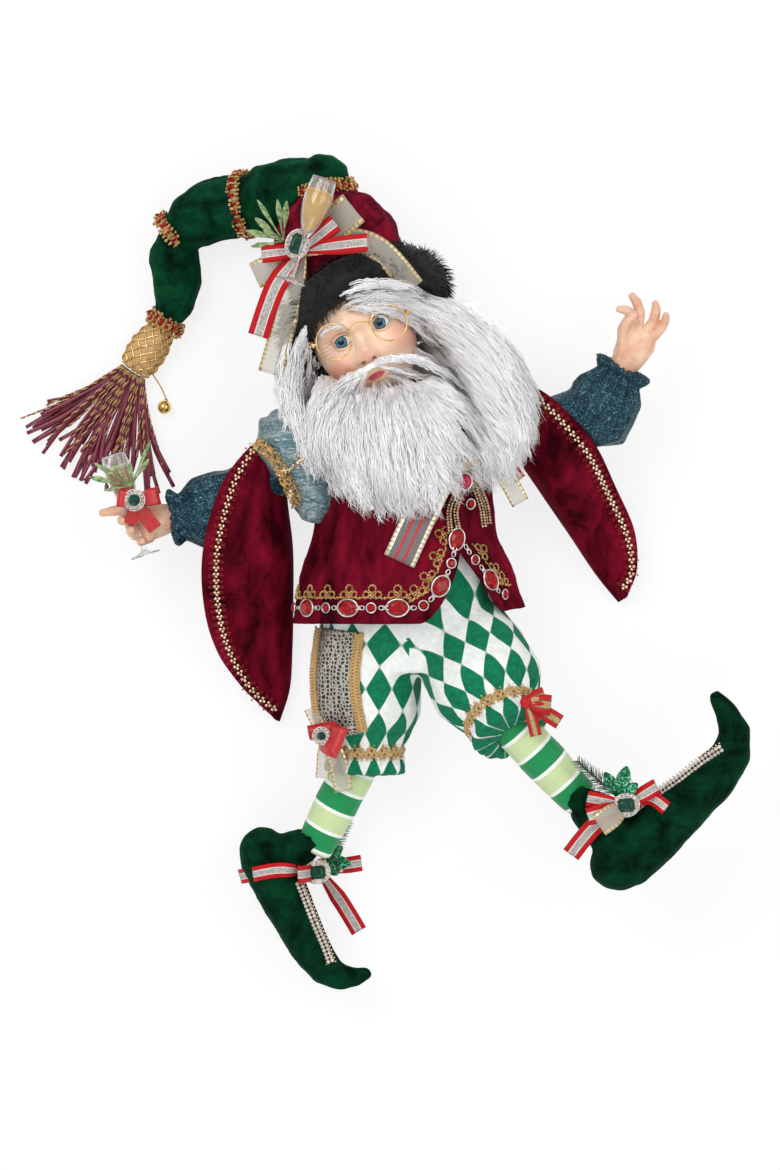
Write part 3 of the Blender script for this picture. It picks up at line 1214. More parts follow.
def make_brows():
    """Painted white brows laid on the skin as short fine hairs, and brown lashes."""
    strands, lashes = [], []
    for start, middle, end in (((-0.0225, 0.0078), (-0.0160, 0.0110), (-0.0075, 0.0062)),
                               ((0.0045, 0.0078), (0.0120, 0.0128), (0.0205, 0.0100))):
        for _ in range(260):
            share = rng.random()
            x = (1 - share) ** 2 * start[0] + 2 * share * (1 - share) * middle[0] + share ** 2 * end[0]
            y = (1 - share) ** 2 * start[1] + 2 * share * (1 - share) * middle[1] + share ** 2 * end[1]
            x, y = x + rng.normal(0, 0.0004), y + rng.normal(0, 0.0007)
            way = 1 if end[0] > 0.01 else -1
            length = 0.0022 + 0.0012 * rng.random()
            strand = []
            for k in range(4):
                px, py = x + way * length * k / 3, y - 0.0004 * k / 3
                strand.append(at_head(px, py, face_height(px, py) + 0.0002 + 0.0005 * math.sin(k)))
            strands.append(strand)
    for eye_x, eye_y in (RIGHT_EYE, LEFT_EYE):
        for k in range(22):
            turn = math.radians(20 + 140 * k / 21)
            strand = []
            for j in range(4):
                reach = 1.0 + 0.13 * j
                px = eye_x + 0.0060 * reach * math.cos(turn)
                py = eye_y + 0.0047 * reach * math.sin(turn) * (1 + 0.05 * j)
                strand.append(at_head(px, py, face_height(px, py) + 0.0003 + 0.0002 * j))
            lashes.append(strand)
    brows = tubes("brow_hairs", strands, np.array([0.00016, 0.00018, 0.00014, 0.00004]))
    adopt(brows, PAINT["hair"])
    lash = tubes("lashes", lashes, np.array([0.00012, 0.00010, 0.00007, 0.00003]))
    adopt(lash, new_lash_paint())


def new_lash_paint():
    return yarn("lash_paint", (0.140, 0.050, 0.022), (0.060, 0.020, 0.010), 900.0, 0.1, 0.5)


# Hair, beard and fur: strands over a soft base
def lock_strands(guide, count, wide, high, wave):
    """Strands that run together along a guide and close to a point at its end."""
    guide = np.array([tuple(p) for p in guide])
    share = np.linspace(0, 1, LOCK_POINTS)
    place = np.linspace(0, 1, len(guide))
    line = np.stack([np.interp(share, place, guide[:, k]) for k in range(3)], axis=1)
    along = np.gradient(line, axis=0)
    along /= np.maximum(np.linalg.norm(along, axis=1, keepdims=True), 1e-9)
    beside = np.stack([-along[:, 1], along[:, 0], np.zeros(LOCK_POINTS)], axis=1)
    beside /= np.maximum(np.linalg.norm(beside, axis=1, keepdims=True), 1e-9)
    above = np.cross(along, beside)
    above *= np.where(above[:, 2:3] < 0, -1, 1)
    spot = rng.normal(0, 0.45, (count, 2))
    body = np.sin(np.pi * np.clip(share * 0.86 + 0.14, 0, 1)) * (1 - LOCK_ROOT) + LOCK_ROOT
    body = np.where(share > 0.6, body * (1 - 0.55 * (share - 0.6) / 0.4), body)
    phase = rng.random((count, 2)) * 0.9 + rng.random() * 6.0
    pitch = 2.2 + rng.random() * 1.4
    sway = wave * np.sin(pitch * math.tau * share[None] + phase[:, :1] * 2) * (0.3 + share[None])
    rise = wave * 0.7 * np.sin(pitch * math.tau * 0.9 * share[None] + phase[:, 1:] * 2) * (0.3 + share[None])
    stray = rng.normal(0, 1, (count, 1)) * share[None] ** 2 * wave * 1.2
    reach = 1 - 0.22 * rng.random((count, 1))
    off_side = spot[:, :1] * wide * body[None] + sway + stray
    off_up = np.abs(spot[:, 1:]) * high * body[None] + rise
    strands = line[None] + off_side[..., None] * beside[None] + off_up[..., None] * above[None]
    root = strands[:, :1]
    return root + (strands - root) * reach[..., None]


# The reach of hair and beard, the face left free inside it, and the bearing of the locks at places
HAIR_OUTLINE = [
    (-0.0378, 0.1308), (-0.033, 0.1374), (-0.0228, 0.141), (-0.009, 0.1398), (0.0012, 0.138),
    (0.0132, 0.1356), (0.027, 0.1326), (0.0408, 0.1266), (0.0552, 0.117), (0.0666, 0.105),
    (0.0738, 0.0936), (0.0792, 0.0804), (0.081, 0.0672), (0.0804, 0.054), (0.0774, 0.042),
    (0.0708, 0.0336), (0.0624, 0.0264), (0.054, 0.0246), (0.0462, 0.0282), (0.0396, 0.0264),
    (0.0336, 0.0204), (0.0276, 0.0138), (0.0204, 0.0084), (0.012, 0.0114), (0.0048, 0.0066),
    (-0.0024, 0.0072), (-0.009, 0.0126), (-0.015, 0.006), (-0.021, 0.0132), (-0.03, 0.0192),
    (-0.0372, 0.0216), (-0.045, 0.0246), (-0.054, 0.0294), (-0.0582, 0.0408), (-0.0606, 0.0504),
    (-0.0666, 0.0552), (-0.0708, 0.0672), (-0.0744, 0.081), (-0.075, 0.0948), (-0.0714, 0.1038),
    (-0.0612, 0.1116),
]
FACE_OPENING = [
    (-0.059, 0.1076), (-0.0525, 0.0994), (-0.0502, 0.0899), (-0.0484, 0.0817), (-0.0455, 0.0782),
    (-0.0407, 0.0788), (-0.0366, 0.0829), (-0.0307, 0.087), (-0.0254, 0.0894), (-0.0201, 0.0911),
    (-0.0137, 0.0923), (-0.0078, 0.0917), (-0.0013, 0.0899), (0.004, 0.0894), (0.0075, 0.0941),
    (0.0081, 0.1023), (0.0064, 0.1111), (0.0022, 0.1182), (-0.0025, 0.1212), (-0.0119, 0.1188),
    (-0.019, 0.1182), (-0.0272, 0.1217), (-0.0343, 0.1253), (-0.0413, 0.1288), (-0.0543, 0.1182),
]
HAIR_FLOW = [
    (-0.033, 0.132, 20), (-0.018, 0.1344, 5), (0.0, 0.1332, -12), (0.015, 0.1272, -28),
    (0.03, 0.117, -42), (0.048, 0.102, -52), (0.063, 0.081, -62), (0.0732, 0.06, -75),
    (0.0708, 0.039, -85), (0.06, 0.027, -80), (0.012, 0.114, -40), (0.024, 0.096, -42),
    (0.042, 0.078, -42), (0.057, 0.06, -45), (0.048, 0.042, -52), (0.015, 0.087, -20),
    (0.03, 0.072, -35), (0.0, 0.09, -8), (-0.0288, 0.0876, 205), (-0.0372, 0.0804, 222),
    (-0.045, 0.0708, 240), (-0.051, 0.054, 258), (-0.0528, 0.039, 275), (-0.009, 0.0924, -8),
    (-0.033, 0.072, 248), (-0.03, 0.054, 268), (-0.03, 0.036, 284), (-0.024, 0.018, 290),
    (-0.0168, 0.075, 268), (-0.0132, 0.054, 275), (-0.009, 0.03, 282), (-0.0024, 0.012, 285),
    (0.0, 0.075, 282), (0.006, 0.054, 284), (0.009, 0.03, 284), (0.018, 0.012, 282),
    (0.018, 0.066, 300), (0.027, 0.042, 302), (0.033, 0.024, 300), (-0.066, 0.096, 262),
    (-0.069, 0.081, 272), (-0.0648, 0.066, 282), (-0.0588, 0.051, 288), (-0.054, 0.033, 285),
    (-0.048, 0.03, 290), (-0.06, 0.105, 255),
]
LIPS = (-0.0040, -0.0285)
LIPS_FREE = (0.0058, 0.0027)
FORELOCK = (-0.0190, 0.1320, 0.0200, 0.0090, 0.0060)


def within(outline, x, y):
    """Whether a place is inside a closed outline."""
    crossings = 0
    for (ax, ay), (bx, by) in zip(outline, outline[1:] + outline[:1]):
        if (ay > y) != (by > y) and x < ax + (bx - ax) * (y - ay) / (by - ay):
            crossings += 1
    return crossings % 2 == 1


def past(outline, x, y):
    """Distance from a place to the nearest corner or side of an outline."""
    spot = Vector((x, y))
    nearest = 1.0
    for a, b in zip(outline, outline[1:] + outline[:1]):
        a, side = Vector(a), Vector(b) - Vector(a)
        share = min(1.0, max(0.0, (spot - a).dot(side) / side.length_squared))
        nearest = min(nearest, (spot - a - side * share).length)
    return nearest


def flow_way(x, y):
    way = Vector((0, 0))
    for fx, fy, bearing in HAIR_FLOW:
        near = 1.0 / ((x - fx) ** 2 + (y - fy) ** 2 + 2.5e-5) ** 2
        way += Vector((math.cos(math.radians(bearing)), math.sin(math.radians(bearing)))) * near
    return math.degrees(math.atan2(way.y, way.x))


def clear_of_lips(x, y):
    offset = Vector((x, y, 0.0)) - at_head(*LIPS, 0.0)
    offset.z = 0.0
    beside, above = offset.dot(HEAD_AXES[0]) / LIPS_FREE[0], offset.dot(HEAD_AXES[1]) / LIPS_FREE[1]
    return beside ** 2 + above ** 2 > 1


def free_of_face(x, y):
    return clear_of_lips(x, y) and not within(FACE_OPENING, x, y)


def lock_guide(x, y, length, margin, trees, brim, lift, free=free_of_face):
    """The path of one lock from its root: along the flow, over what is under it, and falling past its end."""
    turn = flow_way(x, y) + rng.normal(0, 7)
    step = length / 9
    flat = [(x, y)]
    for _ in range(9):
        wanted = flow_way(*flat[-1])
        turn += ((wanted - turn + 180) % 360 - 180) * 0.55 + rng.normal(0, 5)
        px = flat[-1][0] + step * math.cos(math.radians(turn))
        py = flat[-1][1] + step * math.sin(math.radians(turn))
        if not free(px, py):
            break
        if not within(HAIR_OUTLINE, px, py) and past(HAIR_OUTLINE, px, py) > margin:
            break
        flat.append((px, py))
    if len(flat) < 4:
        return None
    heights = []
    for k, (px, py) in enumerate(flat):
        share = k / (len(flat) - 1)
        top = top_at(trees, px, py) or 0.0
        over = top_at(brim, px, py) or 0.0
        rise = lift * math.sin(math.pi * (0.12 + 0.80 * share))
        level = max(top + rise + 0.0004, over + 0.0066 + rise * 0.5 if over > top else 0.0, 0.0015)
        cx, cy, wide, high, dome = FORELOCK
        roll = max(0.0, 1 - ((px - cx) / wide) ** 2 - ((py - cy) / high) ** 2)
        heights.append(max(level + dome * math.sqrt(roll), heights[-1] - step * 0.45 if heights else 0.0))
    heights[0] -= 0.0012
    near = [heights[max(0, k - 1):k + 2] for k in range(len(heights))]
    eased = [sum(some) / len(some) for some in near]
    return [Vector((px, py, z)) for (px, py), z in zip(flat, eased)]


def make_locks(name, guides, hairs, wide, high, wave):
    strands = np.concatenate([lock_strands(guide, hairs, wide, high, wave) for guide in guides])
    thickness = 0.00021 + 0.00012 * rng.random((len(strands), 1))
    shape_along = np.array([0.60, 1.0, 1.0, 0.88, 0.60, 0.12])
    adopt(tubes(name, strands, shape_along[None] * thickness), PAINT["hair"])


def make_moustache_locks(under, brim):
    """Short locks over the moustache and over what else of the bases reaches into the face's opening."""
    bases = trees_of("moustache_base", "beard_base", "hair_base")
    skin = trees_of("head_face")

    def free(x, y):
        level = top_at(bases, x, y)
        return clear_of_lips(x, y) and level is not None and level > (top_at(skin, x, y) or 0.0) - 0.0003

    guides = []
    for name in ("moustache_base", "beard_base", "hair_base"):
        for face in bpy.data.objects[name].data.polygons:
            x, y, z = face.center
            if face.normal.z < 0.1 or not (name == "moustache_base" or within(FACE_OPENING, x, y)):
                continue
            if rng.random() > face.area / 0.0019 ** 2 or not free(x, y) or top_at(under, x, y) > z + 0.0012:
                continue
            length = 0.009 + 0.007 * rng.random()
            lift = 0.0005 + 0.0014 * rng.random()
            guide = lock_guide(x, y, length, 0.003, under, brim, lift, free)
            if guide:
                guides.append(guide)
    make_locks("moustache_locks", guides, LOCK_HAIRS, 0.0016, 0.0011, 0.0007)


def make_beard_and_hair():
    """White mohair: soft bases under many waving locks that end in loose wisps."""
    for name, node, size in (("hair_base", "hair", -0.0024), ("beard_base", "beard", -0.0036),
                             ("moustache_base", "moustache", -0.0027)):
        base = rounded(name, [node], 0.0024, 6)
        swelled(base, lambda p: size + 0.0010 * noise.noise(p / 0.009))
        adopt(base, PAINT["hair_base"], [node])
    under = trees_of("hair_base", "beard_base", "moustache_base", "coat_velvet", "head_face",
                     "right_sleeve_velvet", "left_sleeve_velvet", "right_puff_cloth", "left_puff_cloth")
    brim = trees_of("brim_base")
    guides = {"hair_left_locks": [], "hair_right_locks": [], "beard_locks": [], "forelock": []}
    y = 0.0
    while y < 0.146:
        x = -0.080
        while x < 0.084:
            px, py = x + rng.normal(0, LOCK_STEP * 0.4), y + rng.normal(0, LOCK_STEP * 0.4)
            x += LOCK_STEP
            if not within(HAIR_OUTLINE, px, py) or not free_of_face(px, py):
                continue
            margin = min(0.012, rng.exponential(0.0036))
            length = 0.020 + 0.020 * rng.random()
            guide = lock_guide(px, py, length, margin, under, brim, 0.0010 + 0.0042 * rng.random() ** 1.6)
            if guide is None:
                continue
            if py > 0.122 and px < 0.006:
                guides["forelock"].append(guide)
            elif px > 0.018 and py > 0.020:
                guides["hair_left_locks"].append(guide)
            elif px < -0.056:
                guides["hair_right_locks"].append(guide)
            else:
                guides["beard_locks"].append(guide)
        y += LOCK_STEP
    for name, rows in guides.items():
        make_locks(name, rows, LOCK_HAIRS, 0.0021, 0.0016, 0.0009)
    wisps = []
    for _ in range(260):
        k = int(rng.integers(len(HAIR_OUTLINE)))
        a, b = Vector(HAIR_OUTLINE[k]), Vector(HAIR_OUTLINE[(k + 1) % len(HAIR_OUTLINE)])
        spot = a.lerp(b, rng.random())
        middle = Vector((-0.004, 0.070))
        spot = spot.lerp(middle, 0.10 + 0.12 * rng.random())
        if not free_of_face(*spot):
            continue
        length = 0.018 + 0.016 * rng.random()
        lift = 0.002 + 0.004 * rng.random()
        guide = lock_guide(spot.x, spot.y, length, 0.011, under, brim, lift)
        if guide:
            wisps.append(guide)
    make_locks("hair_wisps", wisps, 4, 0.0030, 0.0016, 0.0016)
    make_moustache_locks(under, brim)


def make_brim():
    """Black plush round the face: fine fur stands out from a soft ring."""
    base = rounded("brim_base", ["fur_brim"], 0.0024, 5)
    adopt(base, PAINT["fur_base"], ["fur_brim"])
    centres, ways = [], []
    areas = np.array([face.area for face in base.data.polygons])
    picks = rng.choice(len(areas), FUR_HAIRS, p=areas / areas.sum())
    for index in picks:
        face = base.data.polygons[index]
        weights = rng.random(len(face.vertices))
        weights /= weights.sum()
        spot = sum((base.data.vertices[v].co * w for v, w in zip(face.vertices, weights)), Vector())
        swirl = Vector((noise.noise(spot * 70), noise.noise(spot * 70 + Vector((5, 0, 0))),
                        noise.noise(spot * 70 + Vector((0, 9, 0)))))
        centres.append(tuple(spot - face.normal * 0.0008))
        ways.append(tuple((face.normal + swirl * 1.1 + Vector(rng.normal(0, 0.18, 3))).normalized()))
    centres, ways = np.array(centres), np.array(ways)
    length = 0.0045 + 0.0030 * rng.random((len(centres), 1, 1))
    share = np.linspace(0, 1, 4)[None, :, None]
    droop = np.array([0.0, -0.5, -0.25])[None, None] * share ** 2 * 0.35
    strands = centres[:, None] + (ways[:, None] * share + droop) * length
    strands[..., 2] = np.maximum(strands[..., 2], 0.0005)
    fur = tubes("brim_fur", strands, np.array([0.00025, 0.00025, 0.00018, 0.00004])[None]
                * (0.8 + 0.5 * rng.random((len(strands), 1))))
    adopt(fur, PAINT["fur"])


# Trims, jewels and ribbons
def shape(name):
    return bpy.data.objects[name]


def trees_of(*names):
    return [tree_of(shape(name)) for name in names]


def drape(points, width, trees, lift, knot=None, steps=6):
    """A path laid over the pieces. A point's own height is how far it stands off them.

    Away from a knot a stiff ribbon droops only slowly, where nothing is under it.
    """
    path = [Vector(p) for p in smooth_path(points, steps)]
    levels = []
    for centre, along in zip(path, tangents(path)):
        beside = Vector((-along.y, along.x, 0))
        beside = beside.normalized() * (width / 2) if beside.length > 0.05 else Vector((0, 0, 0))
        tops = [top_at(trees, *(centre + beside * share).xy) for share in (-1.0, -0.5, 0.0, 0.5, 1.0)]
        level = max((top for top in tops if top is not None), default=0.0) + lift
        if knot:
            level = max(level, knot.z - 0.25 * (centre.xy - knot.xy).length)
        levels.append(level)
    raised = [max(levels[max(0, k - 1):k + 2]) for k in range(len(levels))]
    for k, spot in enumerate(path):
        near = raised[max(0, k - 2):k + 3]
        spot.z += sum(near) / len(near)
    return path


def resting(x, y, trees, lift=0.0, radius=0.0):
    """A place on top of the pieces, clear of all that is under the radius."""
    spots = [(x, y)]
    if radius:
        spots += [(x + off_x, y + off_y) for off_x, off_y in oval(radius, radius, 8)]
    return Vector((x, y, max(top_at(trees, *spot) or 0.0 for spot in spots) + lift))


def oval(long, short, count=20):
    turns = [math.tau * k / count for k in range(count)]
    return [(long * math.cos(turn), short * math.sin(turn)) for turn in turns]


def cut_corners(long, short, cut):
    return [(long, short - cut), (long - cut, short), (cut - long, short), (-long, short - cut),
            (-long, cut - short), (cut - long, -short), (long - cut, -short), (long, cut - short)]


def set_on(obj, place, axis, along):
    """The object's +Z stood on a place along an axis, and its +X turned along a way."""
    up = Vector(axis).normalized()
    ahead = Vector(along)
    ahead = (ahead - up * ahead.dot(up)).normalized()
    left = up.cross(ahead)
    for vertex in obj.data.vertices:
        x, y, z = vertex.co
        vertex.co = Vector(place) + ahead * x + left * y + up * z
    obj.data.update()
    return obj


def cut_stone(outline, height):
    """A faceted stone from its outline: girdle, two steps and a flat table."""
    steps = [(0.80, 0.0), (1.0, 0.30), (0.86, 0.66), (0.62, 0.95), (0.52, 1.0)]
    rings = [[Vector((x * share, y * share, level * height)) for x, y in outline] for share, level in steps]
    return loft("stone", rings)


def bezel(outline, radius, level=0.0):
    spots = [Vector((x, y, level)) for x, y in outline]
    return wire("bezel", spots, radius, sides=6, closed=True)


def small_stones(name, places, ways, size):
    """Round brilliant stones: a six-sided crown on each place."""
    points, faces = [], []
    for place, way in zip(places, ways):
        up = Vector(way).normalized()
        seed = Vector((1, 0, 0)) if abs(up.x) < 0.8 else Vector((0, 1, 0))
        ahead = (seed - up * seed.dot(up)).normalized()
        left = up.cross(ahead)
        start = len(points)
        for share, level, twist in ((0.9, -0.4, 0.0), (1.0, 0.1, 0.0), (0.55, 0.62, 0.5)):
            for k in range(8):
                turn = math.tau * (k + twist) / 8
                points.append(Vector(place) + (ahead * math.cos(turn) + left * math.sin(turn)) * size * share
                              + up * size * level)
        for row in (0, 1):
            for k in range(8):
                a, b = start + row * 8 + k, start + row * 8 + (k + 1) % 8
                faces.append((a, b, b + 8, a + 8))
        faces += [tuple(start + 16 + k for k in range(8)), tuple(start + 7 - k for k in range(8))]
    return mesh_object(name, points, faces)


def make_brooch(name, place, along, stone_paint, long, short, nodes=(), count=18, ring=0.0011,
                round_cut=False):
    """A stepped stone in a gilt border of small stones."""
    outline = oval(long, short) if round_cut else cut_corners(long, short, short * 0.45)
    stone = set_on(cut_stone(outline, 0.0036), Vector(place) + UP * 0.0006, UP, along)
    adopt(stone, stone_paint, nodes, smooth=False)
    stone.name = f"{name}_stone"
    border = [Vector((x, y, 0.0011)) for x, y in oval(long + 0.0014, short + 0.0014, count)]
    stones = small_stones(f"{name}_border", border, [UP] * count, ring)
    adopt(set_on(stones, place, UP, along), PAINT["crystal"], smooth=False)
    mount = [bezel(oval(long + 0.0002, short + 0.0002, 32), 0.0004, 0.0016),
             bezel(oval(long + 0.0027, short + 0.0027, 32), 0.0004, 0.0007)]
    adopt(set_on(joined(f"{name}_mount", mount), place, UP, along), PAINT["silver"])


def plait(name, path, ways, width, radius, turns, high, closed=False):
    """Three cords woven over and under one another along a path. A way is the unit vector across it."""
    strands = 3
    cords = []
    count = len(path)
    lies = [Vector(p) for p in path]
    for strand in range(strands):
        spots = []
        for k in range(count):
            phase = math.tau * (turns * k / count + strand / strands)
            before = lies[k - 1] if (k or closed) else lies[0]
            after = lies[(k + 1) % count] if (k < count - 1 or closed) else lies[-1]
            along = (after - before).normalized()
            up = along.cross(ways[k])
            if up.z < -0.3 and not closed:
                up = -up
            side, rise = width / 2 * math.sin(phase), high * math.cos(2 * phase)
            spots.append(lies[k] + ways[k] * side + up * rise)
        cords.append(wire("cord", spots, radius, sides=5, closed=closed))
    return joined(name, cords)


def make_sleeve_trims():
    """Pale gold beads in threes along each hanging sleeve, with fine red loops at both sides."""
    for side, table in SLEEVES.items():
        shoulder = ARMS[side]["shoulder"]
        points = []
        for mouth, fold in zip(table["mouth"], table["fold"]):
            x, y = (shoulder[k] + mouth[k] + (fold[k] - mouth[k]) * 0.17 for k in (0, 1))
            points.append((x, y, 0.0))
        points[-1] = (shoulder.x + table["fold"][-1][0], shoulder.y + table["fold"][-1][1] + 0.006, 0.0)
        path = even_path(drape(points, 0.003, trees_of(f"{side}_sleeve_velvet"), 0.0008, steps=10), 0.0044)
        places, sizes, loops, reds = [], [], [], []
        for k, (spot, along) in enumerate(zip(path, tangents(path))):
            beside = left_of(along)
            for ahead, off in ((0.0011, 0.0), (-0.0007, 0.0011), (-0.0007, -0.0011)):
                places.append(spot + along * ahead + beside * off + Vector((0, 0, 0.0004)))
                sizes.append(0.00105)
            for sign, reach in ((-1, 0.0042), (1, 0.0038)):
                lean = along * rng.normal(0, 0.0006)
                ring = []
                for j in range(9):
                    turn = math.tau * j / 9
                    out = 0.0016 + (reach - 0.0016) * (0.5 - 0.5 * math.cos(turn))
                    ring.append(spot + beside * sign * out + along * (0.0008 * math.sin(turn)) + lean
                                + Vector((0, 0, 0.0003)))
                loops.append(wire("loop", ring, 0.00016, sides=4, closed=True))
                if k % 2:
                    reds.append(spot + beside * sign * (reach + 0.0003) + lean + Vector((0, 0, 0.0004)))
        pearls = beads(f"{side}_sleeve_pearls", places, np.array(sizes), 2)
        adopt(pearls, PAINT["pale_gold"], [f"{side}_sleeve_beads"])
        adopt(joined(f"{side}_sleeve_loops", loops), PAINT["red_thread"])
        adopt(beads(f"{side}_sleeve_red_beads", reds, 0.0006, 1), PAINT["red_gem"])
        edging(side, [(x, y, 0.0) for x, y in ARMHOLES[side]])
    trees = trees_of("right_puff_cloth", "coat_velvet", "right_sleeve_velvet")
    route = [(-0.0700, 0.0280, 0), (-0.0610, 0.0330, 0), (-0.0500, 0.0480, 0)]
    spots = []
    for spot in even_path(drape(route, 0.003, trees, 0.0008, steps=8), 0.0012):
        for _ in range(2):
            spots.append(spot + Vector((rng.normal(0, 0.0011), rng.normal(0, 0.0011), 0.0004)))
    adopt(beads("puff_bead_band", spots, 0.0010, 1), PAINT["pale_gold"])


ARMHOLES = {
    "right": [(-0.086, 0.046), (-0.076, 0.038), (-0.068, 0.024), (-0.061, 0.008)],
    "left": [(0.078, 0.078), (0.072, 0.068), (0.070, 0.056), (0.072, 0.044)],
}


def edging(side, points):
    """Gold sequins and bugle beads in a soft band where the hanging sleeve meets the shoulder."""
    trees = trees_of(f"{side}_sleeve_velvet", f"{side}_puff_cloth", "coat_velvet")
    path = even_path(drape(points, 0.004, trees, 0.0010, steps=8), 0.0011)
    places, sizes = [], []
    for spot, along in zip(path, tangents(path)):
        beside = left_of(along)
        for off in (-0.0030, -0.0015, 0.0, 0.0015, 0.0030):
            places.append(spot + beside * (off + rng.normal(0, 0.0004)) + along * rng.normal(0, 0.0004)
                          + Vector((0, 0, 0.0005 * rng.random())))
            sizes.append(0.0006 + 0.0004 * rng.random())
    adopt(beads(f"{side}_armhole_sequins", places, np.array(sizes), 1), PAINT["gold"],
          [f"{side}_armhole_trim"], smooth=False)


HEM_STEP = 0.0077
HEM_LIFT = 0.0095


def hem_places():
    """Places along the coat's edge at equal steps, the first at the top of the slit, for both ways from it.

    Each has its step number, its centre on the cloth, the way along, the way up and the way out.
    """
    tree = tree_of(shape("coat_velvet"))
    found = []
    for sign, reach in ((-1, 36), (1, 122)):
        line = []
        for k in range(reach):
            angle = math.radians(SLIT_BEARING + sign * k)
            level = hem_level(angle) + HEM_LIFT
            middle, half, height, deep = torso_level(level)
            outward = Vector((math.cos(angle) / half, 0, math.sin(angle) / deep)).normalized()
            spot = Vector((middle + half * math.cos(angle), level, height + deep * math.sin(angle)))
            hit = tree.ray_cast(spot + outward * 0.03, -outward)[0]
            line.append((hit or spot, outward))
        soft = []
        for k in range(len(line)):
            near = [c for c, _ in line[max(0, k - 3):k + 4]]
            soft.append((sum(near, Vector()) / len(near), line[k][1]))
        gone, due, number = 0.0, 0.0, 0
        for (here, out_here), (there, out_there) in zip(soft, soft[1:]):
            step = (there - here).length
            while step > 0 and due <= gone + step:
                share = (due - gone) / step
                centre = here.lerp(there, share)
                outward = out_here.lerp(out_there, share).normalized()
                along = ((there - here) * sign * -1).normalized()
                if number or sign > 0:
                    found.append((sign * number, centre, along, outward.cross(along).normalized(), outward))
                number += 1
                due += HEM_STEP
            gone += step
    return sorted(found, key=lambda row: row[0]), tree


def make_hem():
    """The jewelled chain along the coat's hem and the beaded gold lace that stands above it."""
    places, tree = hem_places()
    ovals, bezels, rounds, links, lace, tiny = [], [], [], [], [], []

    def on_cloth(spot, outward, lift):
        hit = tree.ray_cast(spot + outward * 0.02, -outward, 0.06)[0]
        return (hit or spot) + outward * lift

    for number, centre, along, upward, outward in places:
        if upward.y < 0:
            upward = -upward
        seat = on_cloth(centre, outward, 0.0004)
        kind = number % 4
        if kind == 0:
            ovals.append(set_on(cut_stone(oval(0.0062, 0.0047, 16), 0.0036), seat, outward, along))
            bezels.append(set_on(bezel(oval(0.0066, 0.0051, 28), 0.0006, 0.0012), seat, outward, along))
        elif kind == 2:
            rounds.append(set_on(cut_stone(oval(0.0025, 0.0025, 10), 0.0026), seat, outward, along))
            bezels.append(set_on(bezel(oval(0.0029, 0.0029, 16), 0.0005, 0.0009), seat, outward, along))
        else:
            for off in (-0.0016, 0.0016):
                link = bezel(oval(0.0019, 0.0012, 12), 0.0004, 0.0006)
                links.append(set_on(link, seat + along * off, outward, along))
            tiny.append((seat + outward * 0.0008, outward))
        if number % 2 == 0:
            for side, high, ring, count in ((0.0, 0.0112, 0.0022, 9), (-0.0036, 0.0078, 0.0019, 8),
                                            (0.0036, 0.0078, 0.0019, 8), (0.0, 0.0075, 0.0010, 4)):
                for k in range(count):
                    turn = math.tau * k / count
                    spot = centre + along * (side + ring * math.cos(turn))
                    spot += upward * (high + ring * math.sin(turn))
                    lace.append(on_cloth(spot, outward, 0.0005 + 0.0004 * rng.random()))
            for k in range(10):
                spot = centre + along * (k - 4.5) * 0.0017 + upward * (0.0056 + 0.0005 * (k % 2))
                lace.append(on_cloth(spot, outward, 0.0006))
    adopt(joined("hem_oval_stones", ovals), PAINT["red_gem"], ["coat_hem_chain"], smooth=False)
    adopt(joined("hem_round_stones", rounds), PAINT["red_gem"], smooth=False)
    adopt(joined("hem_bezels", bezels), PAINT["silver"])
    adopt(joined("hem_links", links), PAINT["silver"])
    adopt(small_stones("hem_crystals", [p for p, _ in tiny], [w for _, w in tiny], 0.0011), PAINT["crystal"],
          smooth=False)
    lace_beads = beads("hem_lace_beads", lace, 0.00062 + 0.00028 * rng.random(len(lace)), 1)
    adopt(lace_beads, PAINT["gold"], ["coat_hem_lace"], smooth=False)


def ring_frame(centre, axis, radius, count):
    along = Vector(axis).normalized()
    beside = UP.cross(along).normalized()
    above = along.cross(beside)
    turns = [math.tau * k / count for k in range(count)]
    outs = [beside * math.cos(turn) + above * math.sin(turn) for turn in turns]
    return [(Vector(centre) + out * radius, out) for out in outs]


def make_knee_braids():
    """Gold plaits round the knee bands."""
    for side, leg in LEGS.items():
        tree = tree_of(shape("breeches_cloth"))
        path = []
        for spot, out in ring_frame(leg["knee"], leg["thigh"], 0.040, 96):
            hit = tree.ray_cast(spot, -out, 0.04)[0]
            path.append((hit or spot - out * 0.0165) + out * 0.0009)
        smooth = [(path[k - 2] + path[k - 1] + path[k] + path[(k + 1) % 96] + path[(k + 2) % 96]) / 5
                  for k in range(96)]
        ways = [leg["thigh"]] * 96
        braid = plait(f"{side}_knee_plait", smooth, ways, 0.0062, 0.0009, 14, 0.0008, closed=True)
        adopt(braid, PAINT["thread"], [f"{side}_knee_braid"])
        edge = []
        for k, spot in enumerate(smooth):
            out = (spot - leg["knee"]).normalized()
            edge.append(spot + leg["thigh"] * (0.0044 * (1 if k % 2 else -1)) + out * 0.0003)
        adopt(beads(f"{side}_knee_picots", edge, 0.0009, 1), PAINT["gold"])


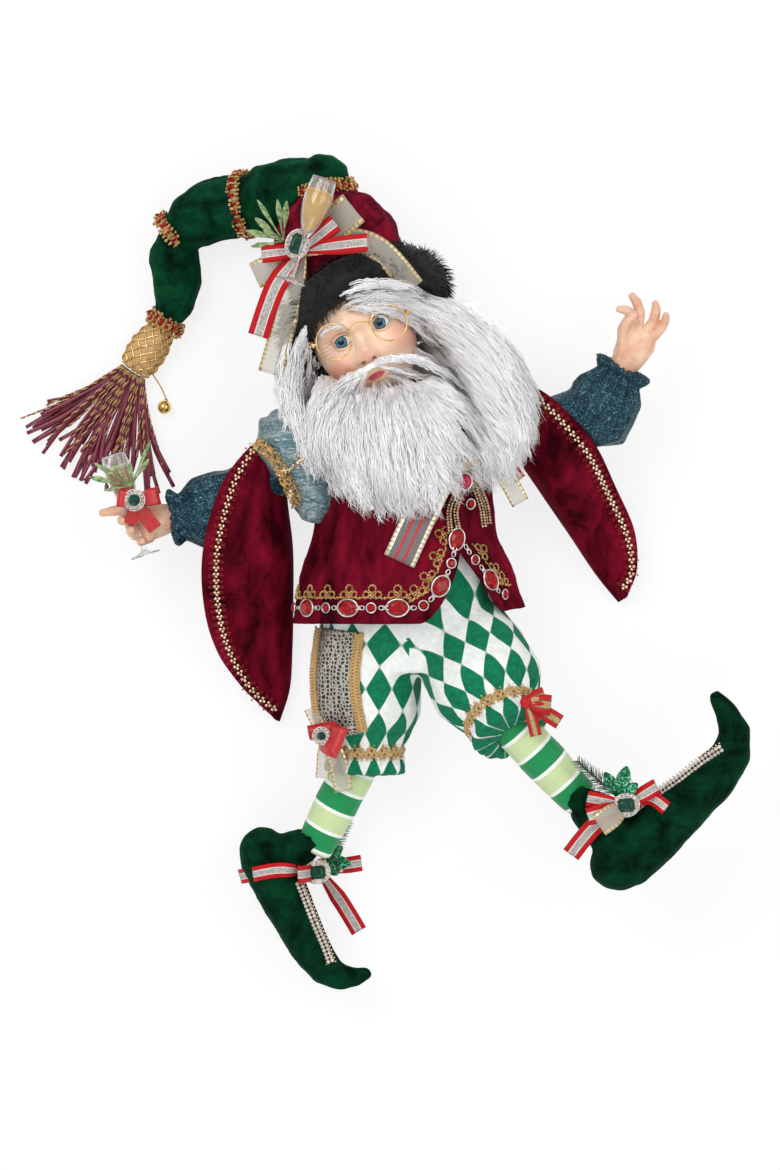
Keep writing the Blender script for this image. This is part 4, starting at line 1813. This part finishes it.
def make_side_panel():
    """A silver lace band down the right thigh between two wavy gold braids."""
    hip, knee = LEGS["right"]["hip"], LEGS["right"]["knee"]
    points = [(hip.x - 0.016, hip.y - 0.002, 0), (hip.x - 0.019, hip.y - 0.026, 0),
              (hip.x - 0.018, hip.y - 0.046, 0), (hip.x - 0.014, knee.y + 0.008, 0)]
    trees = trees_of("breeches_cloth")
    path = drape(points, 0.006, trees, 0.0011, steps=8)
    rows = []
    for spot, along in zip(path, tangents(path)):
        beside = left_of(along)
        row = []
        for k in range(9):
            place = spot + beside * (0.0110 * (1 - k / 4))
            row.append(Vector((place.x, place.y, (top_at(trees, place.x, place.y) or spot.z) + 0.0008)))
        rows.append(row)
    panel = mesh_object("panel_lace", [p for row in rows for p in row], grid_faces(len(rows), 9))
    adopt(walled(panel, 0.0006), PAINT["net"], ["side_panel"])
    for sign, name in ((-1, "outer"), (1, "inner")):
        edge = []
        for spot, along in zip(path, tangents(path)):
            beside = left_of(along)
            place = spot - beside * sign * 0.0120
            level = top_at(trees, place.x, place.y) or spot.z - 0.004
            edge.append(Vector((place.x, place.y, level + 0.0014)))
        edge = even_path([Vector(p) for p in smooth_path(edge, 4)], 0.0009)
        ways = [left_of(t) for t in tangents(edge)]
        adopt(plait(f"panel_braid_{name}", edge, ways, 0.0060, 0.0008, len(edge) / 6.5, 0.0006),
              PAINT["thread"])


# A ribbon loop's outline from its knot, in shares of its reach, its height and its width
LOOP_OUTLINE = [
    (0.001, 0.10, 0.30), (0.22, 0.40, 0.62), (0.55, 0.52, 0.95), (0.86, 0.42, 1.0), (1.0, 0.0, 1.0),
    (0.86, -0.42, 1.0), (0.55, -0.50, 0.95), (0.22, -0.36, 0.62), (0.001, -0.10, 0.30),
]


def loop_of(knot, bearing, reach, width, trees, high):
    """A loop of stiff ribbon that stands out from the knot, clear of what is under it."""
    rise = -0.20
    for share in (0.2, 0.4, 0.7, 1.0):
        for beside in (-0.5, 0.0, 0.5):
            spot = in_frame(knot, turned_axes(bearing), reach * share, width * beside)
            top = top_at(trees, spot.x, spot.y)
            if top is not None:
                rise = max(rise, (top + high * 0.55 + 0.0006 - knot.z) / (reach * share))
    axes = turned_axes(bearing, math.degrees(math.atan(rise)))
    rows = smooth_path(LOOP_OUTLINE, 5)
    path = [in_frame(knot, axes, ahead * reach, 0.0, up * high) for ahead, up, _ in rows]
    widths = [wide * width for _, _, wide in rows]
    return path, widths, [axes[1]] * len(rows)


def banded(name, path, widths, sides=None, thickness=0.00028, across=6):
    """A ribbon along a path, its width along given sides. UVs run in shares across and metres along."""
    path = [Vector(p) for p in path]
    ways = tangents(path)
    points, corners = [], []
    gone = [0.0]
    for here, there in zip(path, path[1:]):
        gone.append(gone[-1] + (there - here).length)
    for k, (centre, way) in enumerate(zip(path, ways)):
        beside = sides[k] if sides else UP.cross(way).normalized()
        up = way.cross(beside).normalized()
        for j in range(across + 1):
            share = j / across - 0.5
            wave = 0.0003 * noise.noise(centre * 160 + Vector((j, 0, 0)))
            points.append(centre + beside * (share * widths[k]) + up * wave)
    for k in range(len(path) - 1):
        for j in range(across):
            corners += [(j / across, gone[k]), ((j + 1) / across, gone[k]),
                        ((j + 1) / across, gone[k + 1]), (j / across, gone[k + 1])]
    return walled(mesh_object(name, points, grid_faces(len(path), across + 1), corners), thickness)


def tie(name, knot, trees, paint, loops=(), tails=(), nodes=(), high=0.0070, knot_size=0.0036):
    """A bow: loops of bearing, reach and width, tails of a path beside the knot and a width, and its knot."""
    parts, cuts = [], []
    for bearing, reach, width in loops:
        path, widths, sides = loop_of(knot, bearing, reach, width, trees, high)
        parts.append(banded("loop", path, widths, sides))
        cuts.append((path, widths))
    for points, width in tails:
        route = [(knot.x + x, knot.y + y, z) for x, y, z in points]
        path = drape(route, width * 0.7, trees, 0.0008, knot=knot)
        path[0] = knot.copy()
        widths = [width * min(1.0, 0.30 + 0.14 * k) for k in range(len(path))]
        parts.append(banded("tail", path, widths))
        cuts.append((path, widths))
    if knot_size:
        knob = beads("knob", [knot + Vector((0, 0, 0.0006))], knot_size, 3, [((0, 0, 1), 0.6)])
        layer = knob.data.uv_layers.new(name="cloth")
        layer.data.foreach_set("uv", np.tile([0.1, 0.0], len(knob.data.loops)).astype(np.float32))
        parts.append(knob)
    bow = adopt(joined(name, parts), paint, nodes)
    return bow


def leaf_blade(base, tip, width, lift):
    """A leaf with a rounded outline and a raised midrib."""
    rows = 8
    base, tip = Vector(base), Vector(tip)
    along = (tip - base).normalized()
    beside = UP.cross(along).normalized()
    up = along.cross(beside)
    points = []
    for k in range(rows + 1):
        share = k / rows
        wide = width / 2 * math.sin(math.pi * min(1.0, share * 0.90 + 0.06)) ** 0.8
        wide *= 0.35 + 0.65 * min(1, share * 1.6)
        centre = base.lerp(tip, share) + up * (lift * math.sin(math.pi * share))
        for off, rise in ((-1.0, 0.0), (-0.5, -0.10), (0.0, 0.12), (0.5, -0.10), (1.0, 0.0)):
            points.append(centre + beside * wide * off + up * wide * rise)
    blade = walled(mesh_object("leaf", points, grid_faces(rows + 1, 5)), 0.0005)
    finer = blade.modifiers.new("Soft", "SUBSURF")
    finer.levels = finer.render_levels = 1
    return baked(blade)


def make_sprig(name, place, spokes, width, node):
    """Frosted leaves that fan out from one tied point, on short stems."""
    parts = []
    for bearing, length, lift in spokes:
        start = bone(place, length * 0.30, bearing, lift)
        tip = bone(place, length, bearing, lift)
        parts.append(leaf_blade(start, tip, width * (0.8 + 0.4 * rng.random()), 0.0008))
        parts.append(wire("stem", [place, start.lerp(tip, 0.15)], 0.0005, sides=5))
    adopt(joined(name, parts), PAINT["leaves"], [node])


def make_pine(name, place, bearing, length, node):
    """A pine twig of many needles, with holly leaves and berries at its foot."""
    axes = turned_axes(bearing, 14)
    tip = in_frame(place, axes, length, 0)
    strands = []
    for k in range(90):
        share = 0.12 + 0.88 * k / 89
        start = Vector(place).lerp(tip, share)
        turn = k * 2.399
        out = axes[1] * math.cos(turn) + axes[2] * abs(math.sin(turn)) * 0.9
        end = start + (axes[0] * 0.75 + out).normalized() * (0.0095 * (1.08 - 0.62 * share))
        strands.append([start, start.lerp(end, 0.35), start.lerp(end, 0.7), end])
    needles = tubes(f"{name}_needles", strands, np.array([0.00030, 0.00036, 0.00030, 0.00008]))
    stem = wire("stem", [place, tip], 0.0006, sides=5)
    adopt(joined(f"{name}_twig", [needles, stem]), PAINT["pine"], [node])
    blades = []
    for turn, reach, wide in ((-62, 0.62, 0.0100), (-20, 0.55, 0.0090), (-100, 0.45, 0.0085)):
        start = Vector(place) + Vector((0, 0, 0.0012))
        blades.append(leaf_blade(start, bone(start, length * reach, bearing + turn, 20), wide, 0.0015))
    adopt(joined(f"{name}_holly", blades), PAINT["holly"])
    spots = [bone(place, 0.010 + 0.002 * k, bearing - 40 - 22 * k, 28) for k in range(3)]
    adopt(beads(f"{name}_sequins", spots, 0.0012, 2), PAINT["crystal"])


def make_flute(name, foot, direction, node, empty=0.12, froth=False):
    """A glass flute with its drink inside, and a light rim of froth."""
    length, bowl, base = FLUTE_LENGTH, FLUTE_BOWL, FLUTE_BASE
    outer = [(base, 0.0), (base, 0.0010), (base * 0.5, 0.0019), (0.0016, 0.0040), (0.0011, 0.010),
             (0.0011, length * 0.36), (0.0020, length * 0.43), (bowl * 0.45, length * 0.50),
             (bowl * 0.80, length * 0.62), (bowl, length * 0.78), (bowl * 0.93, length * 0.90),
             (bowl * 0.84, length)]
    inner = [(bowl * 0.84 - 0.0006, length), (bowl * 0.93 - 0.0007, length * 0.90),
             (bowl - 0.0007, length * 0.78), (bowl * 0.80 - 0.0007, length * 0.62),
             (bowl * 0.42 - 0.0006, length * 0.52), (0.0004, length * 0.47)]
    rows = smooth_path(outer, 3) + smooth_path(inner, 3)
    glass = placed(turned("glass", [(max(r, 0.0003), h) for r, h in rows]), foot, direction)
    adopt(glass, PAINT["glass"], [node])
    glass.name = f"{name}_glass"
    high = 1.0 - empty
    level = [(0.0006, 0.480), (bowl * 0.40 - 0.0009, 0.525), (bowl * 0.80 - 0.0010, 0.62),
             (bowl - 0.0010, 0.78), (bowl * 0.95 - 0.0010, high), (0.0006, high)]
    profile = [(max(r, 0.0004), share * length) for r, share in smooth_path(level, 3)]
    fill = placed(turned("fill", profile), foot, direction)
    fill.name = f"{name}_drink"
    adopt(fill, PAINT["drink"])
    if froth:
        way = Vector(direction).normalized()
        side = way.cross(UP).normalized()
        above = side.cross(way)
        spots, sizes = [], []
        for _ in range(90):
            turn, reach = rng.random() * math.tau, bowl * 0.80 * math.sqrt(rng.random())
            spots.append(Vector(foot) + way * (high * length + 0.0006 + 0.0016 * rng.random())
                         + (side * math.cos(turn) + above * math.sin(turn)) * reach)
            sizes.append(0.0008 + 0.0006 * rng.random())
        adopt(beads(f"{name}_froth", spots, np.array(sizes), 1), PAINT["froth"])


def make_hat_bands():
    """Beaded bands that draw in the hat: gold at both edges with red between."""
    for number in (1, 2, 3, 4):
        node = f"hat_bead_band_{number}"
        base = rounded(f"band_{number}_cord", [node], 0.0011, 3)
        tree = tree_of(base)
        low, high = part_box(node)
        centre = (Vector(low) + Vector(high)) / 2
        axis = BAND_AXES[number - 1]
        adopt(base, PAINT["thread"], [node])
        golds, reds = [], []
        reach = 0.030
        count = 44 if number < 3 else 34
        for row in range(-3, 4):
            for k, (spot, out) in enumerate(ring_frame(centre, axis, reach, count)):
                start = spot + Vector(axis).normalized() * (row * 0.0015 + rng.normal(0, 0.0004))
                hit = tree.ray_cast(start, -out, reach)[0]
                if hit is None:
                    hit = shape_edge(tree, start, out, axis, reach)
                if hit is None:
                    continue
                place = hit + out * (0.0004 + 0.0009 * rng.random())
                place.z = max(place.z, 0.0008)
                (reds if abs(row) < 2 and k % 2 else golds).append(place)
        sizes = 0.0008 + 0.0005 * rng.random(len(golds))
        adopt(beads(f"band_{number}_gold_beads", golds, sizes), PAINT["gold"], smooth=False)
        sizes = 0.0009 + 0.0004 * rng.random(len(reds))
        adopt(beads(f"band_{number}_red_beads", reds, sizes), PAINT["red_gem"], smooth=False)


def shape_edge(tree, start, out, axis, reach):
    """The band's surface under a place just beyond its edge."""
    for shift in (-0.0012, 0.0012, -0.0024, 0.0024):
        hit = tree.ray_cast(start + Vector(axis).normalized() * shift, -out, reach)[0]
        if hit:
            return hit - Vector(axis).normalized() * shift
    return None


BAND_AXES = [bone((0, 0, 0), 1, 98, 0), Vector((-0.009, -0.0015, -0.004)), Vector((-0.0075, -0.0065, -0.002)),
             Vector((-0.005, -0.0085, -0.001))]


def tassel_spot(ahead, left, up=0.0):
    return in_frame((-0.1425, 0.1205, 0.0), turned_axes(236), ahead, left, up)


def make_tassel():
    """A crocheted gold cap, wine ribbons and twisted cords that fan out over the floor, and a brass bell."""
    cap = rounded("tassel_cap_form", ["tassel_cap"], 0.0010, 4)
    tree = tree_of(cap)
    adopt(cap, PAINT["thread"], ["tassel_cap"])
    cords = []
    for sign in (-1, 1):
        for k in range(9):
            spots = []
            for j in range(26):
                share = j / 25
                turn = math.tau * (k / 9 + sign * share * 0.55)
                ahead = 0.001 + 0.034 * share
                start = tassel_spot(ahead, 0.020 * math.cos(turn), 0.0095 + 0.020 * math.sin(turn))
                middle = tassel_spot(ahead, 0.0, 0.0095)
                hit = tree.ray_cast(start, (middle - start).normalized(), 0.03)[0]
                if hit:
                    spots.append(hit + (start - middle).normalized() * (0.0004 + 0.0002 * sign))
            if len(spots) > 5:
                cords.append(wire("stitch", spots, 0.00055, sides=5))
    adopt(joined("tassel_crochet", cords), PAINT["gold"])
    ribbons = []
    for k in range(64):
        share = (k % 32) / 31
        fan = math.radians(min(46.0, max(-29.0, -27 + 72 * share + rng.normal(0, 6.5))))
        reach = 0.0745 * (1 - 0.30 * rng.random() ** 2) * (1 - 0.06 * abs(share - 0.4))
        level = 0.0014 + 0.0052 * rng.random()
        bend = rng.normal(0, 0.10)
        points = []
        for ahead in (0.0, 0.3, 0.65, 1.0):
            spread_by = reach * ahead
            turn = fan * (0.82 + 0.18 * ahead) + bend * ahead * ahead
            points.append(tassel_spot(0.036 + spread_by * math.cos(turn),
                                      (share - 0.5) * 0.015 + spread_by * math.sin(turn),
                                      0.0075 + (level - 0.0075) * min(1.0, ahead * 1.5)))
        path = [Vector(p) for p in smooth_path(points, 4)]
        lean = rng.normal(0, 0.35)
        sides = [left_of(t) * math.cos(lean) + UP * math.sin(lean)
                 for t in tangents(path)]
        ribbons.append(banded("strip", path, [0.0024] * len(path), sides, 0.0002, 2))
    adopt(joined("tassel_ribbons", ribbons), PAINT["wine_satin"], ["tassel_fringe"])
    golds, wines = [], []
    for k in range(24):
        share = k / 23
        fan = math.radians(min(44.0, max(-27.0, -22 + 62 * share + rng.normal(0, 7))))
        reach = 0.072 * (1 - 0.35 * rng.random())
        points = []
        for j in range(9):
            ahead = j / 8
            turn = fan + 0.04 * math.sin(4 * ahead + k)
            points.append(tassel_spot(0.036 + reach * ahead * math.cos(turn),
                                      (share - 0.5) * 0.015 + reach * ahead * math.sin(turn),
                                      0.0085 - 0.0030 * ahead + 0.0010 * math.sin(9 * ahead + k)))
        path = even_path([Vector(p) for p in smooth_path(points, 5)], 0.0012)
        for phase, group in ((0.0, golds), (math.pi, wines)):
            spots = []
            for j, (spot, along) in enumerate(zip(path, tangents(path))):
                turn = j * 1.15 + phase
                beside = left_of(along) * 0.0004 * math.cos(turn)
                spots.append(spot + beside + Vector((0, 0, 0.0004 * math.sin(turn))))
            group.append(wire("cord", spots, 0.00042, sides=4))
    adopt(joined("tassel_gold_cords", golds), PAINT["thread"])
    adopt(joined("tassel_wine_cords", wines), PAINT["wine_satin"])
    ball = tassel_spot(0.043, 0.0275, 0.0045)
    profile = [(0.0004, -0.0042)]
    for level in (-70, -45, -20, -6, 0, 6, 20, 45, 70):
        turn = math.radians(level)
        profile.append((0.0042 * math.cos(turn), 0.0042 * math.sin(turn)))
    profile += [(0.0012, 0.0043), (0.0012, 0.0052), (0.0004, 0.0053)]
    bell = placed(turned("bell_form", profile, 28), ball, bone((0, 0, 0), 1, 75, 8))
    adopt(bell, PAINT["brass"], ["bell"])
    _, left, up = turned_axes(75, 8)
    turns = [math.tau * k / 32 for k in range(32)]
    seam = [ball + (left * math.cos(turn) + up * math.sin(turn)) * 0.0043 for turn in turns]
    adopt(wire("bell_seam", seam, 0.0003, closed=True), PAINT["brass"])
    path = smooth_path([tassel_spot(0.030, 0.010, 0.0085), tassel_spot(0.034, 0.019, 0.0065),
                        bone(ball, 0.0050, 75, 8)], 8)
    adopt(wire("bell_string", path, 0.00045), PAINT["thread"])


def make_chest():
    """The breast jewels, two double strings of beads and the sheer ribbons over the coat."""
    trees = trees_of("coat_velvet", "hem_oval_stones", "hem_lace_beads")
    knot = resting(0.0378, 0.040, trees, 0.0012)
    tie("chest_organza", knot, trees, PAINT["sheer_red"],
        tails=[([(0, 0, 0), (-0.016, -0.018, 0.0008), (-0.0385, -0.065, 0.0006)], 0.0195)],
        nodes=["chest_ribbon"], knot_size=0.003)
    tie("chest_silver_ribbon", knot, trees, PAINT["organza"],
        tails=[([(0, 0, 0), (0.020, -0.008, 0.001), (0.034, -0.030, 0.001)], 0.011)], knot_size=0)
    tie("chest_red_ribbon", knot, trees, PAINT["striped"],
        tails=[([(0, 0, 0), (0.020, -0.001, 0.002), (0.034, -0.016, 0.001)], 0.007)], knot_size=0)
    seat = resting(0.0360, 0.0425, trees, 0.0022, 0.004)
    make_brooch("chest_brooch", seat, (1, -0.6, 0), PAINT["teal_gem"], 0.0052, 0.0040, ["chest_jewels"])
    cluster = [seat + Vector((0.003 + rng.normal(0, 0.0025), -0.0085 + rng.normal(0, 0.0022),
                              rng.random() * 0.0016)) for _ in range(60)]
    adopt(beads("chest_gold_beads", cluster, 0.0009, 1), PAINT["gold"], smooth=False)
    for name, x, y, size in (("pink", 0.0384, 0.0222, 0.0048), ("red", 0.0420, 0.0090, 0.0026)):
        seat = resting(x, y, trees, 0.0012, size)
        stone = set_on(cut_stone(oval(size, size * 0.8, 14), 0.0036), seat, UP, (0.2, 1, 0))
        stone.name = f"chest_{name}_stone"
        adopt(stone, PAINT[f"{name}_gem"], smooth=False)
        ring = bezel(oval(size + 0.0004, size * 0.8 + 0.0004, 24), 0.0005, 0.0012)
        set_on(ring, seat, UP, (0.2, 1, 0))
        ring.name = f"chest_{name}_bezel"
        adopt(ring, PAINT["silver"])
    strings = []
    for route in ([(0.0350, 0.020, 0), (0.0290, 0.006, 0), (0.0300, -0.008, 0)],
                  [(0.0375, 0.018, 0), (0.0330, 0.005, 0), (0.0345, -0.006, 0)],
                  [(0.0430, 0.022, 0), (0.0480, 0.008, 0), (0.0500, -0.004, 0)],
                  [(0.0450, 0.023, 0), (0.0510, 0.010, 0), (0.0530, -0.002, 0)]):
        path = even_path(drape(route, 0.002, trees, 0.0012, steps=8), 0.0017)
        for k, (spot, along) in enumerate(zip(path, tangents(path))):
            beside = left_of(along)
            for sign in (-1, 1):
                rise = 0.0004 * sign * (1 if k % 2 else -1)
                strings.append(spot + beside * sign * 0.0009 + Vector((0, 0, rise)))
    adopt(beads("chest_bead_strings", strings, 0.0011, 1), PAINT["bead_bronze"])


def make_hat_trims():
    trees = trees_of("crown_velvet", "tail_velvet", "brim_base", "hair_base", "head_face")
    knot = resting(-0.0580, 0.158, trees, 0.0030, 0.006)
    tie("hat_organza", knot, trees, PAINT["organza"], high=0.0075,
        loops=[(39, 0.045, 0.0205), (205, 0.032, 0.0160)],
        tails=[([(0, 0, 0), (0.026, 0.007, 0), (0.046, 0.001, 0), (0.066, -0.021, 0)], 0.0145),
               ([(0, 0, 0), (-0.006, -0.020, 0), (-0.011, -0.042, 0), (-0.0195, -0.071, 0)], 0.0150)],
        nodes=["hat_organza_bow"])
    trees += trees_of("hat_organza")
    top = resting(knot.x, knot.y + 0.001, trees, 0.0010, 0.003)
    tie("hat_striped", top, trees, PAINT["striped"], high=0.0060,
        loops=[(36, 0.033, 0.0105), (186, 0.024, 0.0100), (3, 0.052, 0.0105)],
        tails=[([(0, 0, 0), (-0.014, -0.018, 0), (-0.021, -0.034, 0), (-0.0265, -0.050, 0)], 0.0125)],
        nodes=["hat_striped_bow"])
    trees += trees_of("hat_striped")
    seat = resting(-0.0605, 0.1620, trees, 0.0006, 0.006)
    make_brooch("hat_brooch", seat, (0.35, 1, 0), PAINT["green_gem"], 0.0062, 0.0044, ["hat_brooch"],
                count=20, ring=0.0013)
    axis = Vector((0.316, 0.949, 0.0))
    low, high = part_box("hat_flute")
    foot = Vector((-0.0645, 0.1385, (low[2] + high[2]) / 2))
    make_flute("hat_flute", foot, axis, "hat_flute")
    place = resting(-0.0690, 0.1640, trees, 0.0010, 0.002)
    make_sprig("hat_mistletoe_leaves", place,
               [(122, 0.029, 0), (163, 0.023, -10), (188, 0.020, -12), (98, 0.025, 6), (140, 0.022, -4),
                (85, 0.024, 10), (150, 0.014, 8)], 0.0042, "hat_mistletoe")


def make_hand_trims():
    trees = trees_of("right_hand_skin", "right_sleeve_glitter")
    wrist = ARMS["right"]["wrist"]
    grip = in_frame(wrist, turned_axes(190), 0.0225, 0.0, 0.0105)
    axis = Vector((-0.309, 0.951, 0.05)).normalized()
    make_flute("hand_flute", grip - axis * 0.020, axis, "hand_flute", 0.16, True)
    trees += trees_of("hand_flute_glass")
    knot = resting(wrist.x - 0.022, wrist.y + 0.010, trees, 0.0020, 0.004)
    tie("hand_satin_bow", knot, trees, PAINT["red_satin"], high=0.0060,
        loops=[(172, 0.012, 0.0105), (12, 0.015, 0.0105), (150, 0.011, 0.009)],
        tails=[([(0, 0, 0), (0.006, -0.009, 0), (0.012, -0.017, 0)], 0.0085),
               ([(0, 0, 0), (-0.001, -0.007, 0), (-0.003, -0.014, 0)], 0.0075)], nodes=["hand_bow"])
    trees += trees_of("hand_satin_bow")
    seat = resting(knot.x, knot.y, trees, 0.0004, 0.003)
    make_brooch("hand_brooch", seat, (1, 0, 0), PAINT["green_gem"], 0.0036, 0.0036, ["hand_brooch"], count=16,
                ring=0.0010, round_cut=True)
    place = resting(knot.x - 0.002, knot.y + 0.0085, trees, 0.0015, 0.003)
    make_sprig("hand_mistletoe_leaves", place,
               [(148, 0.026, 0), (168, 0.026, -6), (128, 0.017, 4), (66, 0.030, 6), (56, 0.020, 8),
                (92, 0.014, 10), (190, 0.016, 0)], 0.0034, "hand_mistletoe")


SHOES = {"right": {"turn": (-60, 1), "size": 0.86, "drop": 0.80},
         "left": {"turn": (46, -4), "size": 1.0, "drop": 1.0}}
SHOE_LENGTH = 0.100


def shoe_spot(side, x, y):
    """A place in the middle of the shoe, in shares of its length, from the ankle's opening."""
    shoe, leg = SHOES[side], LEGS[side]
    start = leg["ankle"].lerp(leg["knee"], 0.12)
    scale = SHOE_LENGTH * shoe["size"]
    return in_frame(start, turned_axes(*shoe["turn"]), x * scale, y * scale * shoe["drop"])


def make_knee_trims():
    knee = LEGS["right"]["knee"]
    trees = trees_of("breeches_cloth", "right_stocking_knit", "panel_lace", "right_knee_plait")
    knot = resting(knee.x - 0.0245, knee.y + 0.009, trees, 0.0025, 0.004)
    tie("right_knee_sheer", knot, trees, PAINT["organza"],
        tails=[([(0, 0, 0), (0.008, -0.014, 0), (0.012, -0.034, 0)], 0.0110),
               ([(0, 0, 0), (0.000, -0.014, 0), (-0.001, -0.026, 0)], 0.0080),
               ([(0, 0, 0), (-0.004, 0.008, 0), (-0.008, 0.016, 0)], 0.0080)], knot_size=0)
    tie("right_knee_satin", knot, trees, PAINT["red_satin"], high=0.0080,
        loops=[(100, 0.014, 0.0170), (-22, 0.024, 0.0190)], nodes=["right_knee_bow"])
    seat = resting(knot.x - 0.001, knot.y, trees_of("right_knee_satin"), 0.0004, 0.003)
    make_brooch("knee_button", seat, (1, 0, 0), PAINT["green_gem"], 0.0026, 0.0026, count=12, round_cut=True)
    knee = LEGS["left"]["knee"]
    trees = trees_of("breeches_cloth", "left_stocking_knit", "left_knee_plait")
    knot = resting(knee.x + 0.013, knee.y + 0.009, trees, 0.0020, 0.003)
    tie("left_knee_plaid", knot, trees, PAINT["plaid"], high=0.0050,
        loops=[(-8, 0.015, 0.0120), (20, 0.012, 0.0100)],
        tails=[([(0, 0, 0), (0.012, -0.007, 0), (0.020, -0.012, 0)], 0.0090),
               ([(0, 0, 0), (0.004, -0.012, 0), (0.006, -0.020, 0)], 0.0070)], nodes=["left_knee_bow"])


def make_shoe_trims():
    """Rhinestones along each shoe's opening, and a striped and organza bow with a jewel and a pine twig."""
    loops = {"right": [(182, 0.046, 0.0105), (8, 0.028, 0.0100), (150, 0.020, 0.0085)],
             "left": [(196, 0.026, 0.0105), (30, 0.022, 0.0095), (170, 0.024, 0.0090)]}
    tails = {"right": [([(0, 0, 0), (0.014, -0.020, 0), (0.025, -0.038, 0)], 0.0100),
                       ([(0, 0, 0), (-0.024, 0.002, 0), (-0.047, -0.003, 0)], 0.0090)],
             "left": [([(0, 0, 0), (-0.018, -0.012, 0), (-0.032, -0.030, 0)], 0.0110),
                      ([(0, 0, 0), (0.014, 0.004, 0), (0.024, -0.002, 0)], 0.0085)]}
    sheer = {"right": [(112, 0.026, 0.0150), (80, 0.022, 0.0120)], "left": [(215, 0.024, 0.0140)]}
    spots = {"right": (0.20, -0.16), "left": (0.16, -0.27)}
    sprigs = {"right": (58, 0.029), "left": (138, 0.034)}
    lines = [(0.20, -0.34), (0.36, -0.37), (0.52, -0.40), (0.66, -0.42), (0.80, -0.45)]
    for side in LEGS:
        shoe = trees_of(f"{side}_shoe_velvet")
        route = [(*shoe_spot(side, x, y).xy, 0.0) for x, y in lines]
        path = even_path(drape(route, 0.002, shoe, 0.0004, steps=8), 0.0024)
        golds, stones = [], []
        for spot, along in zip(path, tangents(path)):
            beside = left_of(along)
            for off in (-0.0013, 0.0013):
                stones.append(spot + beside * off + Vector((0, 0, 0.0006)))
            for off in (-0.0029, 0.0029):
                golds.append(spot + beside * off + along * 0.0012)
        row = small_stones(f"{side}_shoe_stones", stones, [UP] * len(stones), 0.0012)
        adopt(row, PAINT["crystal"], [f"{side}_shoe_beads"], smooth=False)
        adopt(beads(f"{side}_shoe_gold_beads", golds, 0.0007, 1), PAINT["pale_gold"])
        trees = trees_of(f"{side}_shoe_velvet", f"{side}_stocking_knit", f"{side}_shoe_stones")
        place = shoe_spot(side, *spots[side])
        knot = resting(place.x, place.y, trees, 0.0030, 0.006)
        tie(f"{side}_shoe_organza", knot, trees, PAINT["organza"], loops=sheer[side], knot_size=0)
        tie(f"{side}_shoe_striped", knot + UP * 0.0010, trees, PAINT["striped"],
            loops=loops[side], tails=tails[side], nodes=[f"{side}_shoe_bow"], high=0.0060)
        seat = resting(knot.x, knot.y, trees_of(f"{side}_shoe_striped"), 0.0002, 0.003)
        make_brooch(f"{side}_shoe_brooch", seat, (1, 0.1, 0), PAINT["green_gem"], 0.0052, 0.0042, ring=0.0012)
        bearing, length = sprigs[side]
        foot = bone(knot, 0.006, bearing, 0)
        make_pine(f"{side}_shoe", foot, bearing, length, f"{side}_shoe_sprig")


make_coat()
make_breeches()
make_stockings()
make_shoes()
make_outer_sleeves()
make_inner_sleeves()
make_puffs()
make_hat()
make_hands()
make_head()
make_spectacles()
make_brows()
make_sleeve_trims()
make_hem()
make_knee_braids()
make_side_panel()
make_chest()
make_brim()
make_beard_and_hair()
make_hat_bands()
make_tassel()
make_hat_trims()
make_hand_trims()
make_knee_trims()
make_shoe_trims()


# Camera, floor and light
def make_stage():
    camera = bpy.data.cameras.new("camera")
    camera.lens = LENS_MM
    camera.sensor_fit = "VERTICAL"
    camera.sensor_height = SENSOR_MM
    camera.sensor_width = SENSOR_MM
    view = bpy.data.objects.new("camera", camera)
    bpy.context.scene.collection.objects.link(view)
    view.location = (CAMERA_X, CAMERA_Y, FOCUS_HEIGHT + FIELD_HEIGHT * LENS_MM / SENSOR_MM)
    camera.clip_end = 20
    bpy.context.scene.camera = view
    floor = mesh_object("floor", [(-3, -3, 0), (3, -3, 0), (3, 3, 0), (-3, 3, 0)], [(0, 1, 2, 3)])
    paint, tree, shader = new_paint("floor_paper", Roughness=0.9)
    grain = ramp(tree, cloud(tree, spread(tree), 30.0), [(0.2, (0.90,) * 3), (0.8, (0.93,) * 3)])
    tree.links.new(grain, shader.inputs["Base Color"])
    rays = add(tree, "ShaderNodeLightPath")
    seen = sum_of(tree, "MAXIMUM", rays.outputs["Is Camera Ray"],
                  sum_of(tree, "MAXIMUM", rays.outputs["Is Glossy Ray"], rays.outputs["Is Transmission Ray"]))
    glow = add(tree, "ShaderNodeEmission", Color=(1, 1, 1, 1), Strength=1.0)
    mixed = add(tree, "ShaderNodeMixShader", i0=sum_of(tree, "MULTIPLY", seen, 0.80))
    tree.links.new(shader.outputs[0], mixed.inputs[1])
    tree.links.new(glow.outputs[0], mixed.inputs[2])
    tree.links.new(mixed.outputs[0], tree.nodes["Material Output"].inputs["Surface"])
    floor.data.materials.append(paint)
    for name, place, size, power in LAMPS:
        light = bpy.data.lights.new(name, "AREA")
        light.size = size
        light.energy = power
        lamp = bpy.data.objects.new(name, light)
        bpy.context.scene.collection.objects.link(lamp)
        lamp.location = place
        lamp.rotation_mode = "QUATERNION"
        lamp.rotation_quaternion = (Vector(place) - Vector((0, 0, 0.05))).to_track_quat("Z", "Y")
    world = bpy.data.worlds.new("studio")
    bpy.context.scene.world = world
    world.use_nodes = True
    tree = world.node_tree
    rays = add(tree, "ShaderNodeLightPath")
    back = tree.nodes["Background"]
    back.inputs["Color"].default_value = (1.0, 1.0, 1.0, 1.0)
    strength = add(tree, "ShaderNodeMapRange", Value=rays.outputs["Is Camera Ray"], To_Min=0.60, To_Max=1.0)
    tree.links.new(strength.outputs[0], back.inputs["Strength"])
    bpy.context.scene.view_settings.view_transform = "Standard"


make_stage()
